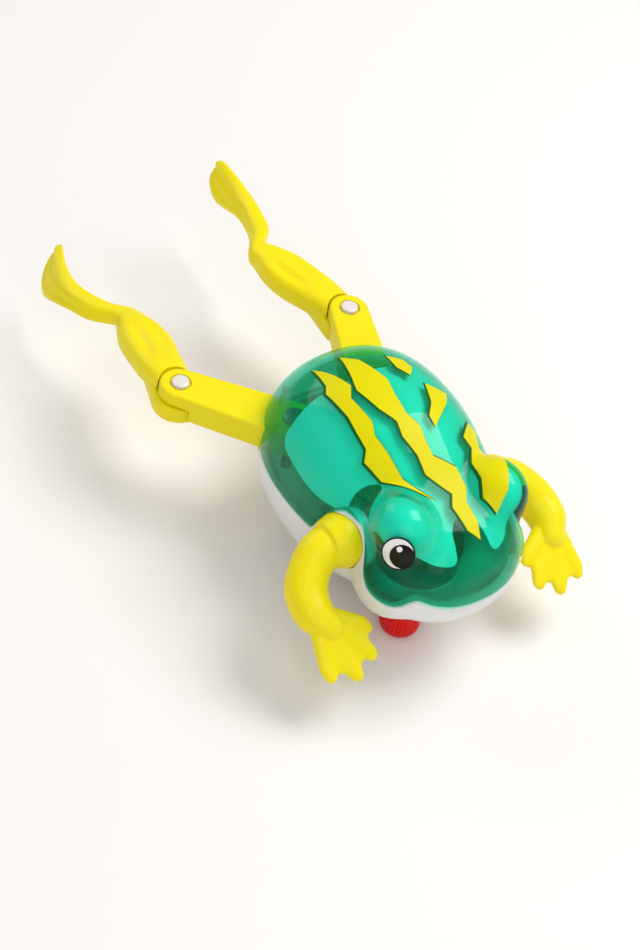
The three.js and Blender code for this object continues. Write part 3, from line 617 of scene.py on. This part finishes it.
def stripes(yellow, dark):
    """Yellow stripes, each on a slightly larger dark green one: printed outline plus painted shadow."""
    for name, outline in STRIPES.items():
        under = widened(outline, STRIPE_OUTLINE_AND_SHADOW["width"], STRIPE_OUTLINE_AND_SHADOW["shift"])
        layers = (
            (name + "_edge", under, STRIPE_OUTLINE_AND_SHADOW["depth"], dark, "green_shell"),
            (name, np.array(outline, float), STRIPE_DEPTH, yellow, "yellow_plastic"),
        )
        for layer, points, outer, material, slot in layers:
            edge = dome_map(from_above(subdivide(points, 0.5)))
            piece = patch(layer, edge, dome_plane, DOME_STEP, outer, SUNK, material)
            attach(piece, "body")


# Edge of the bright coat inside the dome, right half: degrees round from the nose, degrees up.
COAT = (
    (0, 31), (4, 30), (7.5, 26.5), (8.2, 21), (8.6, 17), (11, 15), (17, 15.5), (22, 17), (27, 19),
    (35, 20.5), (42, 21.5), (49, 20.5), (52.5, 20.5), (52, 26), (52.5, 32), (51.5, 38), (49.5, 43.5),
    (52, 46), (60, 43.5), (66, 37), (67.5, 29), (67.5, 22.5), (72, 20.5), (88, 18), (103, 17.5),
    (118, 18), (126, 18.5), (130, 22), (133, 30), (138, 38), (144, 45), (152, 51.5), (165, 54.5),
    (180, 55),
)


def coat(material):
    """The bright layer sprayed inside the dome, which stops short of its rim."""
    right = []
    for turn, up in COAT:
        a = math.radians(-90 - turn)
        right.append(((90 - up) * math.cos(a), (90 - up) * math.sin(a)))
    left = [(-x, y) for x, y in right[1:-1][::-1]]
    outline = smooth_loop(right + left)
    piece = patch("dome_inner_coat", outline, dome_plane, DOME_STEP, *COAT_DEPTH, material)
    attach(piece, "body")


# The left eye can't be seen in the photo, so it is printed further round than a mirror image.
EYE_AT = {"right": (-15.1, -21.9, 12.05), "left": (16.0, -21.3, 11.0)}
EYE_FACING = {"right": (-0.52, -0.50, 0.69), "left": (0.61, -0.49, 0.62)}
EYE = {
    "r": 3.2, "line": 0.3, "pupil": 2.35, "pupil_ahead": 0.85, "pupil_down": 0.32,
    "glint": 0.55, "glint_ahead": 0.06, "glint_up": 0.95, "cast_from": 6,
}


def eyes(white, black):
    """A white disc with a black outline, a black pupil and a small glint on each brow."""
    for side in SIDES:
        centre = np.array(EYE_AT[side])
        facing = np.array(EYE_FACING[side])
        facing /= np.linalg.norm(facing)
        level = np.cross([0, 0, 1], facing)
        level /= np.linalg.norm(level)
        rise = np.cross(facing, level)
        ahead = -place(side, 1)

        def project(points, inset):
            flat = centre + points[:, :1] * level + points[:, 1:] * rise - facing * EYE["cast_from"]
            return outward_root(flat, np.tile(facing, (len(flat), 1)), inset, 2 * EYE["cast_from"])

        discs = (
            ("outline", (0, 0), EYE["r"], black, 0.02),
            ("white", (0, 0), EYE["r"] - EYE["line"], white, 0.03),
            ("pupil", (EYE["pupil_ahead"] * ahead, -EYE["pupil_down"]), EYE["pupil"], black, 0.04),
            ("glint", (EYE["glint_ahead"] * ahead, EYE["glint_up"]), EYE["glint"], white, 0.05),
        )
        for part, (x, y), r, material, lift in discs:
            turn = np.arange(72) / 72 * 2 * math.pi
            circle = np.stack([x + r * np.cos(turn), y + r * np.sin(turn)], axis=-1)
            name = "eye_" + part + "_" + side
            piece = patch(name, circle, project, EYE_STEP, SKIN - lift, SUNK, material)
            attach(piece, "body")


# ---------- limbs: rough solids melted into one smooth skin ----------
def sphere(centre, r, squash=None):
    """Points and faces of a ball, or of one flattened along a unit vector by a factor."""
    mesh = bmesh.new()
    bmesh.ops.create_icosphere(mesh, subdivisions=3, radius=r)
    points = np.array([v.co[:] for v in mesh.verts])
    faces = [tuple(v.index for v in f.verts) for f in mesh.faces]
    mesh.free()
    if squash:
        axis, factor = np.array(squash[0]), squash[1]
        points -= np.outer(points @ axis, axis) * (1 - factor)
    return points + np.array(centre), faces


def chain(a, b, ra, rb, squash, count):
    """Balls along a line, from one radius to another."""
    a, b = np.array(a, float), np.array(b, float)
    return [sphere(a + (b - a) * t, ra + (rb - ra) * t, squash) for t in np.linspace(0, 1, count)]


def melt(name, solids, material, voxel, smoothing):
    """Several overlapping solids as one remeshed and smoothed skin."""
    points, faces = [], []
    count = 0
    for p, f in solids:
        points.append(np.asarray(p, float))
        faces.extend(tuple(i + count for i in face) for face in f)
        count += len(p)
    piece = make_piece(name, np.concatenate(points), faces, [material])
    remesh = piece.modifiers.new("remesh", "REMESH")
    remesh.mode = "VOXEL"
    remesh.voxel_size = voxel * MM
    relax = piece.modifiers.new("relax", "SMOOTH")
    relax.factor = 0.5
    relax.iterations = smoothing
    apply_modifiers(piece)
    if not piece.data.materials:
        piece.data.materials.append(material)
    finish_shading(piece, sharp=180)
    return piece


def catmull(points, steps):
    """Points along a smooth open curve."""
    p = np.asarray(points, float)
    slope = np.gradient(p, axis=0)
    out = []
    for i in range(steps + 1):
        u = i / steps * (len(p) - 1)
        k = min(int(u), len(p) - 2)
        t = u - k
        h = (2 * t**3 - 3 * t * t + 1, t**3 - 2 * t * t + t, 3 * t * t - 2 * t**3, t**3 - t * t)
        out.append(h[0] * p[k] + h[1] * slope[k] + h[2] * p[k + 1] + h[3] * slope[k + 1])
    return np.array(out)


def arm(side, material):
    """A curved front arm with a webbed hand, and the peg that turns in the collar."""
    mirror = np.array([place(side, 1), 1, 1])
    steps, in_root = 40, 8  # balls along the arm, and how many of them its root stands in for
    centres = catmull(ARM_PATH, steps) * mirror
    known = range(len(ARM_RADIUS))
    radii = np.interp(np.linspace(0, known[-1], steps + 1), known, ARM_RADIUS)
    solids = [sphere(c, r) for c, r in zip(centres[in_root:], radii[in_root:])]
    for (near, wide), (far, narrow) in zip(ARM_ROOT, ARM_ROOT[1:]):
        solids.append(rod_x(side, wide, near, far, end=narrow))
    along = np.array(HAND_ALONG) * mirror
    along /= np.linalg.norm(along)
    across = np.array(HAND_ACROSS) * mirror
    across -= along * (across @ along)
    across /= np.linalg.norm(across)
    flat = (np.cross(along, across), HAND["flatness"])
    wrist = np.array(WRIST) * mirror

    def spot(t, u):
        return wrist + along * t + across * u

    for t, u in TOES:
        palm = spot(HAND["palm"], u * TOE_SPREAD["palm"])
        knuckle = spot(t - TOE_R - HAND["knuckle"], u * TOE_SPREAD["knuckle"])
        tip = spot(t - TOE_R, u * TOE_SPREAD["tip"])
        solids += chain(palm, knuckle, HAND["palm_r"], HAND["knuckle_r"], flat, count=14)
        solids += chain(knuckle, tip, HAND["knuckle_r"], TOE_R, flat, count=5)
    ends = [(t - WEB["short"], u * TOE_SPREAD["knuckle"]) for t, u in TOES]
    for (ta, ua), (tb, ub) in zip(ends, ends[1:]):
        for k in (0.25, 0.5, 0.75):
            edge = spot((ta + (tb - ta) * k) * WEB["dip"], ua + (ub - ua) * k)
            solids += chain(spot(HAND["palm"], 0), edge, WEB["palm_r"], WEB["edge_r"], flat, count=14)
    piece = melt("webbed_arm_" + side, solids, material, voxel=0.24, smoothing=5)
    peg = rod_x(side, ARM_PEG["r"], ARM_PEG["inner"], SHOULDER["face"] + ARM_PEG["overlap"])
    lip = rod_x(side, ARM_PEG["r"] + ARM_PEG["lip"], ARM_PEG["lip_inner"], ARM_PEG["lip_outer"])
    for shape in (peg, lip):
        cut_with(piece, shape, "UNION")
    finish_shading(piece, sharp=60)
    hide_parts("arm_" + side)
    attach(piece, "arm_" + side)


# ---------- legs ----------
def thigh(side, material):
    """The outside bar of a leg and its slotted inner lever."""
    hip, knee = hip_at(side), knee_at(side)
    low, high, split = THIGH["low"], THIGH["high"], LAP_Z + GAP / 2
    bar = around([(*hip, THIGH["hip"]), (*knee, THIGH["knee"])])
    piece = make_piece("leg_lever_" + side, *prism(bar, low, high, round_edge=0.75), [material])
    cut_with(piece, cylinder(*knee, LAP_R + GAP, low - 1, split, sides=96))

    # The lever points at the crank when the leg is in the middle of its swing.
    mean = (SWING["in"] + SWING["out"]) / 2
    turn = place(side, 1) * math.radians(mean - SPLAY[side])
    x, y = CRANK["x"] - hip[0], CRANK["y"] - hip[1]
    c, s = math.cos(turn), math.sin(turn)
    toward = np.array([x * c - y * s, x * s + y * c])
    reach = np.linalg.norm(toward)
    toward /= reach
    near, far = (hip + toward * (reach + t) for t in (-LEVER_END["beyond"], LEVER_END["beyond"]))
    slot_r = CRANK["pin"] + LEVER_END["room"]
    lever = around([(*hip, LEVER_END["hip_r"]), (*far, LEVER_END["r"])])
    slot = around([(*near, slot_r), (*far, slot_r)])
    cut_with(piece, prism(lever, *LEVER[side]), "UNION")
    cut_with(piece, prism(slot, low - 1, high + 1))
    cut_with(piece, cylinder(*hip, BORE["hip"], *THROUGH))
    cut_with(piece, cylinder(*knee, BORE["knee"], *THROUGH))
    cut_with(piece, cylinder(*knee, BORE["head"], high - BORE["head_depth"], high + 1))
    finish_shading(piece)
    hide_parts("thigh_" + side)
    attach(piece, "leg_" + side)


def bump(x, centre, spread):
    """A smooth hump of height 1."""
    return np.exp(-(((x - centre) / spread) ** 2))


def sink(side, reach):
    """How far below the thigh a shin has sunk this far beyond the knee."""
    return DROOP[side] * max(0, reach - DROOP["from"])


def leg_station(side, start, lean_out, row, on_calf, on_foot, lean):
    """One section's middle, direction, half width, bottom, top, places along the leg, lean and drop."""
    along, out = leaning(side, lean_out)
    s, shift, half, low, high = row
    x, y = start + along * s + out * shift
    return x, y, lean_out, half, low, high, on_calf, on_foot, lean, sink(side, on_calf + on_foot)


def ramp(distance, length):
    """Rises from 0 to 1 over a length."""
    return np.clip(distance / length, 0, 1)


def squared(wave):
    """A cosine or sine made to linger at its ends, so that a section is squarer than an ellipse."""
    return np.sign(wave) * np.abs(wave) ** SECTION_POWER


def leg_ring(side, station, count=96):
    """One section of the shin or of its flipper foot."""
    x, y, lean_out, half, low, high, on_calf, on_foot, lean, drop = station
    along, out = leaning(side, lean_out)
    a = np.arange(count) / count * 2 * math.pi
    wide, tall = squared(np.cos(a)), squared(np.sin(a))
    part = ramp(on_calf - GROOVE["from"], GROOVE["ease_in"])
    part *= ramp(GROOVE["to"] - on_calf, GROOVE["ease_out"])
    dip = sum(bump(wide, at, GROOVE["width"]) for at in GROOVE["at"])
    flat = ramp(on_foot - FLIPPER["from"], FLIPPER["ease"])
    ridge = np.max([strength * bump(tall, at, w) for at, w, strength in RIDGES], axis=0)
    wide = wide * (1 - flat * FLIPPER["hollow"] * (1 - ridge))
    scallop = ramp(on_foot - FLIPPER["scallop_from"], FLIPPER["scallop_ease"])
    reach = FLIPPER["scallop"] * (ridge - 1) * scallop
    z = (low + high) / 2 + (high - low) / 2 * tall - GROOVE["depth"] * part * dip * (tall > 0)
    across = half * wide + lean * (LEAN_Z - z)
    level = [x + along[0] * reach + out[0] * across, y + along[1] * reach + out[1] * across]
    return np.stack([*level, z - drop], axis=-1)


def shin(side, material):
    """The calf and its flipper foot, with the round end that laps under the thigh."""
    knee = knee_at(side)
    calf_lean = SPLAY[side] - KNEE_BEND[side]
    foot_lean = calf_lean + FOOT_BEND[side]
    calf_along, foot_along = leaning(side, calf_lean)[0], leaning(side, foot_lean)[0]
    length = CALF[-1][0]
    ankle = knee + calf_along * length
    stations = [leg_station(side, knee, calf_lean, row, row[0], 0, 0) for row in CALF]
    for s, shift, half, low, high in FOOT:
        bow = FOOT_BOW[side] * math.sin(s / FOOT[-1][0] * math.pi)
        row = (s, shift + bow, half, low, high)
        stations.append(leg_station(side, ankle, foot_lean, row, length, s, FOOT_LEAN[side]))
    sections = 110
    rings = [leg_ring(side, station) for station in catmull(stations, sections)]
    last = rings[-1]
    tip = last.mean(axis=0)
    for close in TIP["rings"]:
        outward = np.array([*foot_along, 0]) * (TIP["bulge"] - TIP["flatter"] * close)
        rings.append(tip + (last - tip) * close + outward)
    points, faces = loft(rings)
    if side == "left":
        faces = [face[::-1] for face in faces]
    piece = make_piece("shin_and_foot_" + side, points, faces, [material])
    cut_with(piece, cylinder(*knee, THIGH["knee"] + GAP, -3, THIGH["high"] + 1))

    lap_top = LAP_Z - GAP / 2
    root = knee + calf_along * LAP["root"]
    lap = around([(*knee, LAP_R), (*root, LAP["root_r"])])
    cut_with(piece, prism(lap, THIGH["low"] - LAP["below"], lap_top, LAP["edge"]), "UNION")
    cut_with(piece, cylinder(*knee, BORE["knee"], *THROUGH))
    finish_shading(piece, sharp=50)
    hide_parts("shin_" + side)
    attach(piece, "shin_" + side)


def pins(side, material, hidden):
    """The knee pin's flat head shows in the thigh's countersink; the hip pin is inside."""
    knee_profile = (
        (0, -2.6), (1.7, -2.6), (1.9, -2.4), (1.9, -1.8), (1.2, -1.8), (1.2, 4.7), (1.75, 4.7),
        (1.75, 5.1), (1.68, 5.3), (1.5, 5.42), (1.1, 5.48), (0, 5.5),
    )
    hip_profile = (
        (0, -8), (1.15, -8), (1.15, 5.3), (2.3, 5.3), (2.3, 5.8), (2.0, 6.05), (1.4, 6.2), (0, 6.2),
    )
    knee = make_piece("knee_rivet_" + side, *lathe(knee_profile, *knee_at(side)), [material])
    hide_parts("knee_pin_" + side)
    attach(knee, "leg_" + side)
    hip = make_piece("hip_post_" + side, *lathe(hip_profile, *hip_at(side)), [hidden])
    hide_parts("hip_pin_" + side)
    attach(hip, "body")


def knob(material):
    """A ribbed winding knob under the chin."""
    count = KNOB["ribs"] * 12
    a = np.arange(count) / count * 2 * math.pi
    rib = KNOB["rib"] * (0.5 - 0.5 * np.cos(a * KNOB["ribs"])) ** 1.5
    low, high = KNOB["bottom"], KNOB["top"]
    rows = [(r - rib * min(1, rise), low + rise) for r, rise in KNOB_END]
    rows.append((KNOB["r"] - rib, high - 0.5))
    rows.append((KNOB["r"] - 0.3 - rib * 0.5, high))
    x, y = ARBOR["x"], ARBOR["y"]
    rings = [np.c_[x + r * np.cos(a), y + r * np.sin(a), np.full(count, z)] for r, z in rows]
    piece = make_piece("ribbed_knob", *loft(rings), [material])
    cut_with(piece, cylinder(x, y, ARBOR["r"], low + KNOB["bore"], high + 1))
    finish_shading(piece, sharp=40)
    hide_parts("winding_knob")
    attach(piece, "winder")


# ---------- materials ----------
def linear(*rgb):
    """sRGB 0-255 to linear."""
    out = []
    for v in rgb:
        v /= 255
        out.append(v / 12.92 if v <= 0.04045 else ((v + 0.055) / 1.055) ** 2.4)
    return (*out, 1.0)


GREEN_WINDOW = (0.15, 0.98, 0.82, 1)
GREEN_FILM = linear(0, 118, 74)
COAT_DEEP = linear(205, 246, 225)
COAT_BRIGHT = linear(252, 255, 252)
GRAIN = {"scale": 400, "rough": 0.06}
RIPPLES = {"scale": 900, "height": 0.02 * MM}


def add_noise(tree, scale, low, high, stretch=(1, 1, 1), detail=2.0):
    """A value between low and high that wanders over the piece, with its own coordinates."""
    where = tree.nodes.new("ShaderNodeTexCoord")
    mapping = tree.nodes.new("ShaderNodeMapping")
    mapping.inputs["Scale"].default_value = stretch
    noise = tree.nodes.new("ShaderNodeTexNoise")
    noise.inputs["Scale"].default_value = scale
    noise.inputs["Detail"].default_value = detail
    spread = tree.nodes.new("ShaderNodeMapRange")
    spread.inputs["To Min"].default_value = low
    spread.inputs["To Max"].default_value = high
    tree.links.new(where.outputs["Object"], mapping.inputs["Vector"])
    tree.links.new(mapping.outputs["Vector"], noise.inputs["Vector"])
    tree.links.new(noise.outputs["Fac"], spread.inputs["Value"])
    return spread.outputs["Result"]


def surface(name, colour, rough=0.3, metal=0.0, coat_weight=0.0, glow=0.0, gloss=0.5, ripple=0.25):
    """A moulded or metal surface with slight changes of roughness and level."""
    material = bpy.data.materials.new(name)
    material.use_nodes = True
    tree = material.node_tree
    shader = tree.nodes["Principled BSDF"]
    shader.inputs["Base Color"].default_value = linear(*colour)
    shader.inputs["Metallic"].default_value = metal
    shader.inputs["Specular IOR Level"].default_value = gloss
    shader.inputs["Coat Weight"].default_value = coat_weight
    shader.inputs["Coat Roughness"].default_value = 0.08
    shader.inputs["Subsurface Weight"].default_value = glow
    shader.inputs["Subsurface Radius"].default_value = (0.002, 0.0015, 0.0004)
    grain = add_noise(tree, GRAIN["scale"], rough - GRAIN["rough"], rough + GRAIN["rough"])
    tree.links.new(grain, shader.inputs["Roughness"])
    level = tree.nodes.new("ShaderNodeBump")
    level.inputs["Strength"].default_value = ripple
    level.inputs["Distance"].default_value = RIPPLES["height"]
    tree.links.new(add_noise(tree, RIPPLES["scale"], 0, 1), level.inputs["Height"])
    tree.links.new(level.outputs["Normal"], shader.inputs["Normal"])
    return material


def clear_green():
    """Green see-through plastic: a tinted window with a glossy green film."""
    material = bpy.data.materials.new("clear_green")
    material.use_nodes = True
    tree = material.node_tree
    tree.nodes.clear()
    out = tree.nodes.new("ShaderNodeOutputMaterial")
    mix = tree.nodes.new("ShaderNodeMixShader")
    window = tree.nodes.new("ShaderNodeBsdfTransparent")
    window.inputs["Color"].default_value = GREEN_WINDOW
    film = tree.nodes.new("ShaderNodeBsdfPrincipled")
    film.inputs["Base Color"].default_value = GREEN_FILM
    film.inputs["Roughness"].default_value = 0.06
    film.inputs["Coat Weight"].default_value = 1.0
    film.inputs["Coat Roughness"].default_value = 0.02
    facing = tree.nodes.new("ShaderNodeLayerWeight")
    facing.inputs["Blend"].default_value = 0.35
    steep = tree.nodes.new("ShaderNodeMapRange")
    steep.inputs["To Min"].default_value = 0.12
    steep.inputs["To Max"].default_value = 0.62
    tree.links.new(facing.outputs["Facing"], steep.inputs["Value"])
    tree.links.new(steep.outputs["Result"], mix.inputs["Fac"])
    tree.links.new(window.outputs["BSDF"], mix.inputs[1])
    tree.links.new(film.outputs["BSDF"], mix.inputs[2])
    tree.links.new(mix.outputs["Shader"], out.inputs["Surface"])
    return material


def sprayed_coat():
    """Light paint inside the dome, faintly streaked from head to tail."""
    material = bpy.data.materials.new("sprayed_coat")
    material.use_nodes = True
    tree = material.node_tree
    shader = tree.nodes["Principled BSDF"]
    shader.inputs["Roughness"].default_value = 0.55
    streak = tree.nodes.new("ShaderNodeMix")
    streak.data_type = "RGBA"
    streak.inputs["A"].default_value = COAT_DEEP
    streak.inputs["B"].default_value = COAT_BRIGHT
    tree.links.new(add_noise(tree, 90, 0, 1, (1, 0.22, 1), 3.0), streak.inputs["Factor"])
    tree.links.new(streak.outputs["Result"], shader.inputs["Base Color"])
    return material


YELLOW = surface("yellow_plastic_finish", (240, 222, 0), 0.4, glow=0.12, gloss=0.28)
WHITE = surface("white_plastic_finish", (226, 226, 224), 0.3, coat_weight=0.2, ripple=0.04)
PIN_WHITE = surface("pin_finish", (226, 218, 210), 0.35)
RED = surface("red_plastic_finish", (224, 0, 0), 0.4, gloss=0.3)
NYLON = surface("nylon_finish", (228, 222, 205), 0.5)
RUBBER = surface("rubber_finish", (24, 24, 26), 0.7)
STEEL = surface("steel_finish", (168, 170, 174), 0.32, metal=1.0)
BRASS = surface("brass_finish", (196, 150, 70), 0.35, metal=1.0)
PRINT_YELLOW = surface("print_yellow", (220, 208, 0), 0.4, gloss=0.12)
# The green of the stripes' outlines, which also paints their shadow.
PRINT_GREEN_AND_SHADOW = surface("print_green_and_painted_shadow", (2, 92, 34), 0.4, gloss=0.12)
PRINT_WHITE = surface("print_white", (240, 240, 238), 0.35)
PRINT_BLACK = surface("print_black", (2, 2, 3), 0.35, gloss=0.15)

# The motor keeps its CAD shapes; its edges are eased.
EASED = {"width": 0.08 * MM, "angle": 50}
INSIDE = {
    STEEL: (
        "winding_arbor", "click_pawl", "mainspring", "spring_cup", "second_axle", "crank_axle",
        "escape_axle", "pallet_axle", "motor_screw_1", "motor_screw_2",
    ),
    BRASS: ("ratchet_wheel",),
    RUBBER: ("shaft_seal",),
    NYLON: ("main_gear", "second_wheel", "crank_wheel", "escape_wheel", "escape_pallet"),
    WHITE: ("motor_tray", "motor_cover"),
}


def finish_inside():
    """Gives each piece of the motor its material and eases its edges."""
    for material, names in INSIDE.items():
        for name in names:
            node = frame["nodes"][name]
            node.data.materials.clear()
            node.data.materials.append(material)
            edge = node.modifiers.new("edge", "BEVEL")
            edge.width = EASED["width"]
            edge.segments = 2
            edge.limit_method = "ANGLE"
            edge.angle_limit = math.radians(EASED["angle"])


# ---------- build ----------
top_shell(clear_green())
coat(sprayed_coat())
stripes(PRINT_YELLOW, PRINT_GREEN_AND_SHADOW)
eyes(PRINT_WHITE, PRINT_BLACK)
bottom_shell(WHITE)
for side in SIDES:
    arm(side, YELLOW)
    thigh(side, YELLOW)
    shin(side, YELLOW)
    pins(side, PIN_WHITE, STEEL)
knob(RED)
finish_inside()


# ---------- floor, lights, camera: in metres ----------
TABLE = {"half": 1.6, "bend_from": 0.9, "bend": 0.3, "top": 1.1}


def add_floor():
    """A plain pale table that curves up behind the object."""
    half, bend_from, bend = TABLE["half"], TABLE["bend_from"], TABLE["bend"]
    profile = [(-half, 0.0)]
    for a in np.linspace(0, math.pi / 2, 13):
        profile.append((bend_from + bend * math.sin(a), bend * (1 - math.cos(a))))
    profile.append((bend_from + bend, TABLE["top"]))
    mesh = bpy.data.meshes.new("table")
    points = [(x, y, z) for y, z in profile for x in (-half, half)]
    faces = [(2 * i, 2 * i + 1, 2 * i + 3, 2 * i + 2) for i in range(len(profile) - 1)]
    mesh.from_pydata(points, [], faces)
    mesh.polygons.foreach_set("use_smooth", [True] * len(mesh.polygons))
    table = bpy.data.objects.new("table", mesh)
    bpy.context.scene.collection.objects.link(table)
    mesh.materials.append(surface("table_finish", (238, 234, 230), 0.6))


def add_light(name, place_m, size, watts):
    """A square lamp that faces the middle of the table."""
    lamp = bpy.data.lights.new(name, "AREA")
    lamp.size = size
    lamp.energy = watts
    light = bpy.data.objects.new(name, lamp)
    light.location = place_m
    light.rotation_euler = Vector(place_m).to_track_quat("Z", "Y").to_euler()
    bpy.context.scene.collection.objects.link(light)


def add_world(strength):
    world = bpy.data.worlds.new("room")
    world.use_nodes = True
    background = world.node_tree.nodes["Background"]
    background.inputs["Color"].default_value = (0.95, 0.97, 1.0, 1)
    background.inputs["Strength"].default_value = strength
    bpy.context.scene.world = world


# The photo's view: degrees round from the nose and up, roll, lens, and distance in millimetres.
CAMERA = {"azimuth": -44.5, "elevation": 46.5, "roll": 14.4, "lens": 88.67, "distance": 450}
LOOK_ASIDE = {"right": 0.02906, "down": 0.00671}  # tangents of the angles off the object's middle


def add_camera():
    """A camera at the photo's place, aimed a little off the middle of the object."""
    a, e, r = (math.radians(CAMERA[k]) for k in ("azimuth", "elevation", "roll"))
    back = Vector((math.sin(a) * math.cos(e), -math.cos(a) * math.cos(e), math.sin(e)))
    right = Vector((math.cos(a), math.sin(a), 0))
    rows = Matrix((right, back.cross(right), back))
    roll = Matrix(((math.cos(r), math.sin(r), 0), (-math.sin(r), math.cos(r), 0), (0, 0, 1)))
    toward = Vector((LOOK_ASIDE["right"], -LOOK_ASIDE["down"], -1)).normalized()
    turn = Vector((0, 0, -1)).rotation_difference(toward).to_matrix()
    data = bpy.data.cameras.new("camera")
    data.sensor_width = 36
    data.lens = CAMERA["lens"]
    data.clip_start, data.clip_end = 0.01, 10
    camera = bpy.data.objects.new("camera", data)
    turned = (turn @ roll @ rows).transposed().to_4x4()
    camera.matrix_world = Matrix.Translation(back * CAMERA["distance"] * MM + SHIFT) @ turned
    bpy.context.scene.collection.objects.link(camera)
    bpy.context.scene.camera = camera


add_floor()
add_light("key", (0.30, -0.06, 0.52), 0.32, 2.4)
add_light("fill", (-0.30, -0.40, 0.40), 0.5, 1.2)
add_light("back", (-0.2, 0.6, 0.45), 0.4, 1.0)
add_world(0.44)
add_camera()
bpy.context.scene.view_settings.view_transform = "Standard"
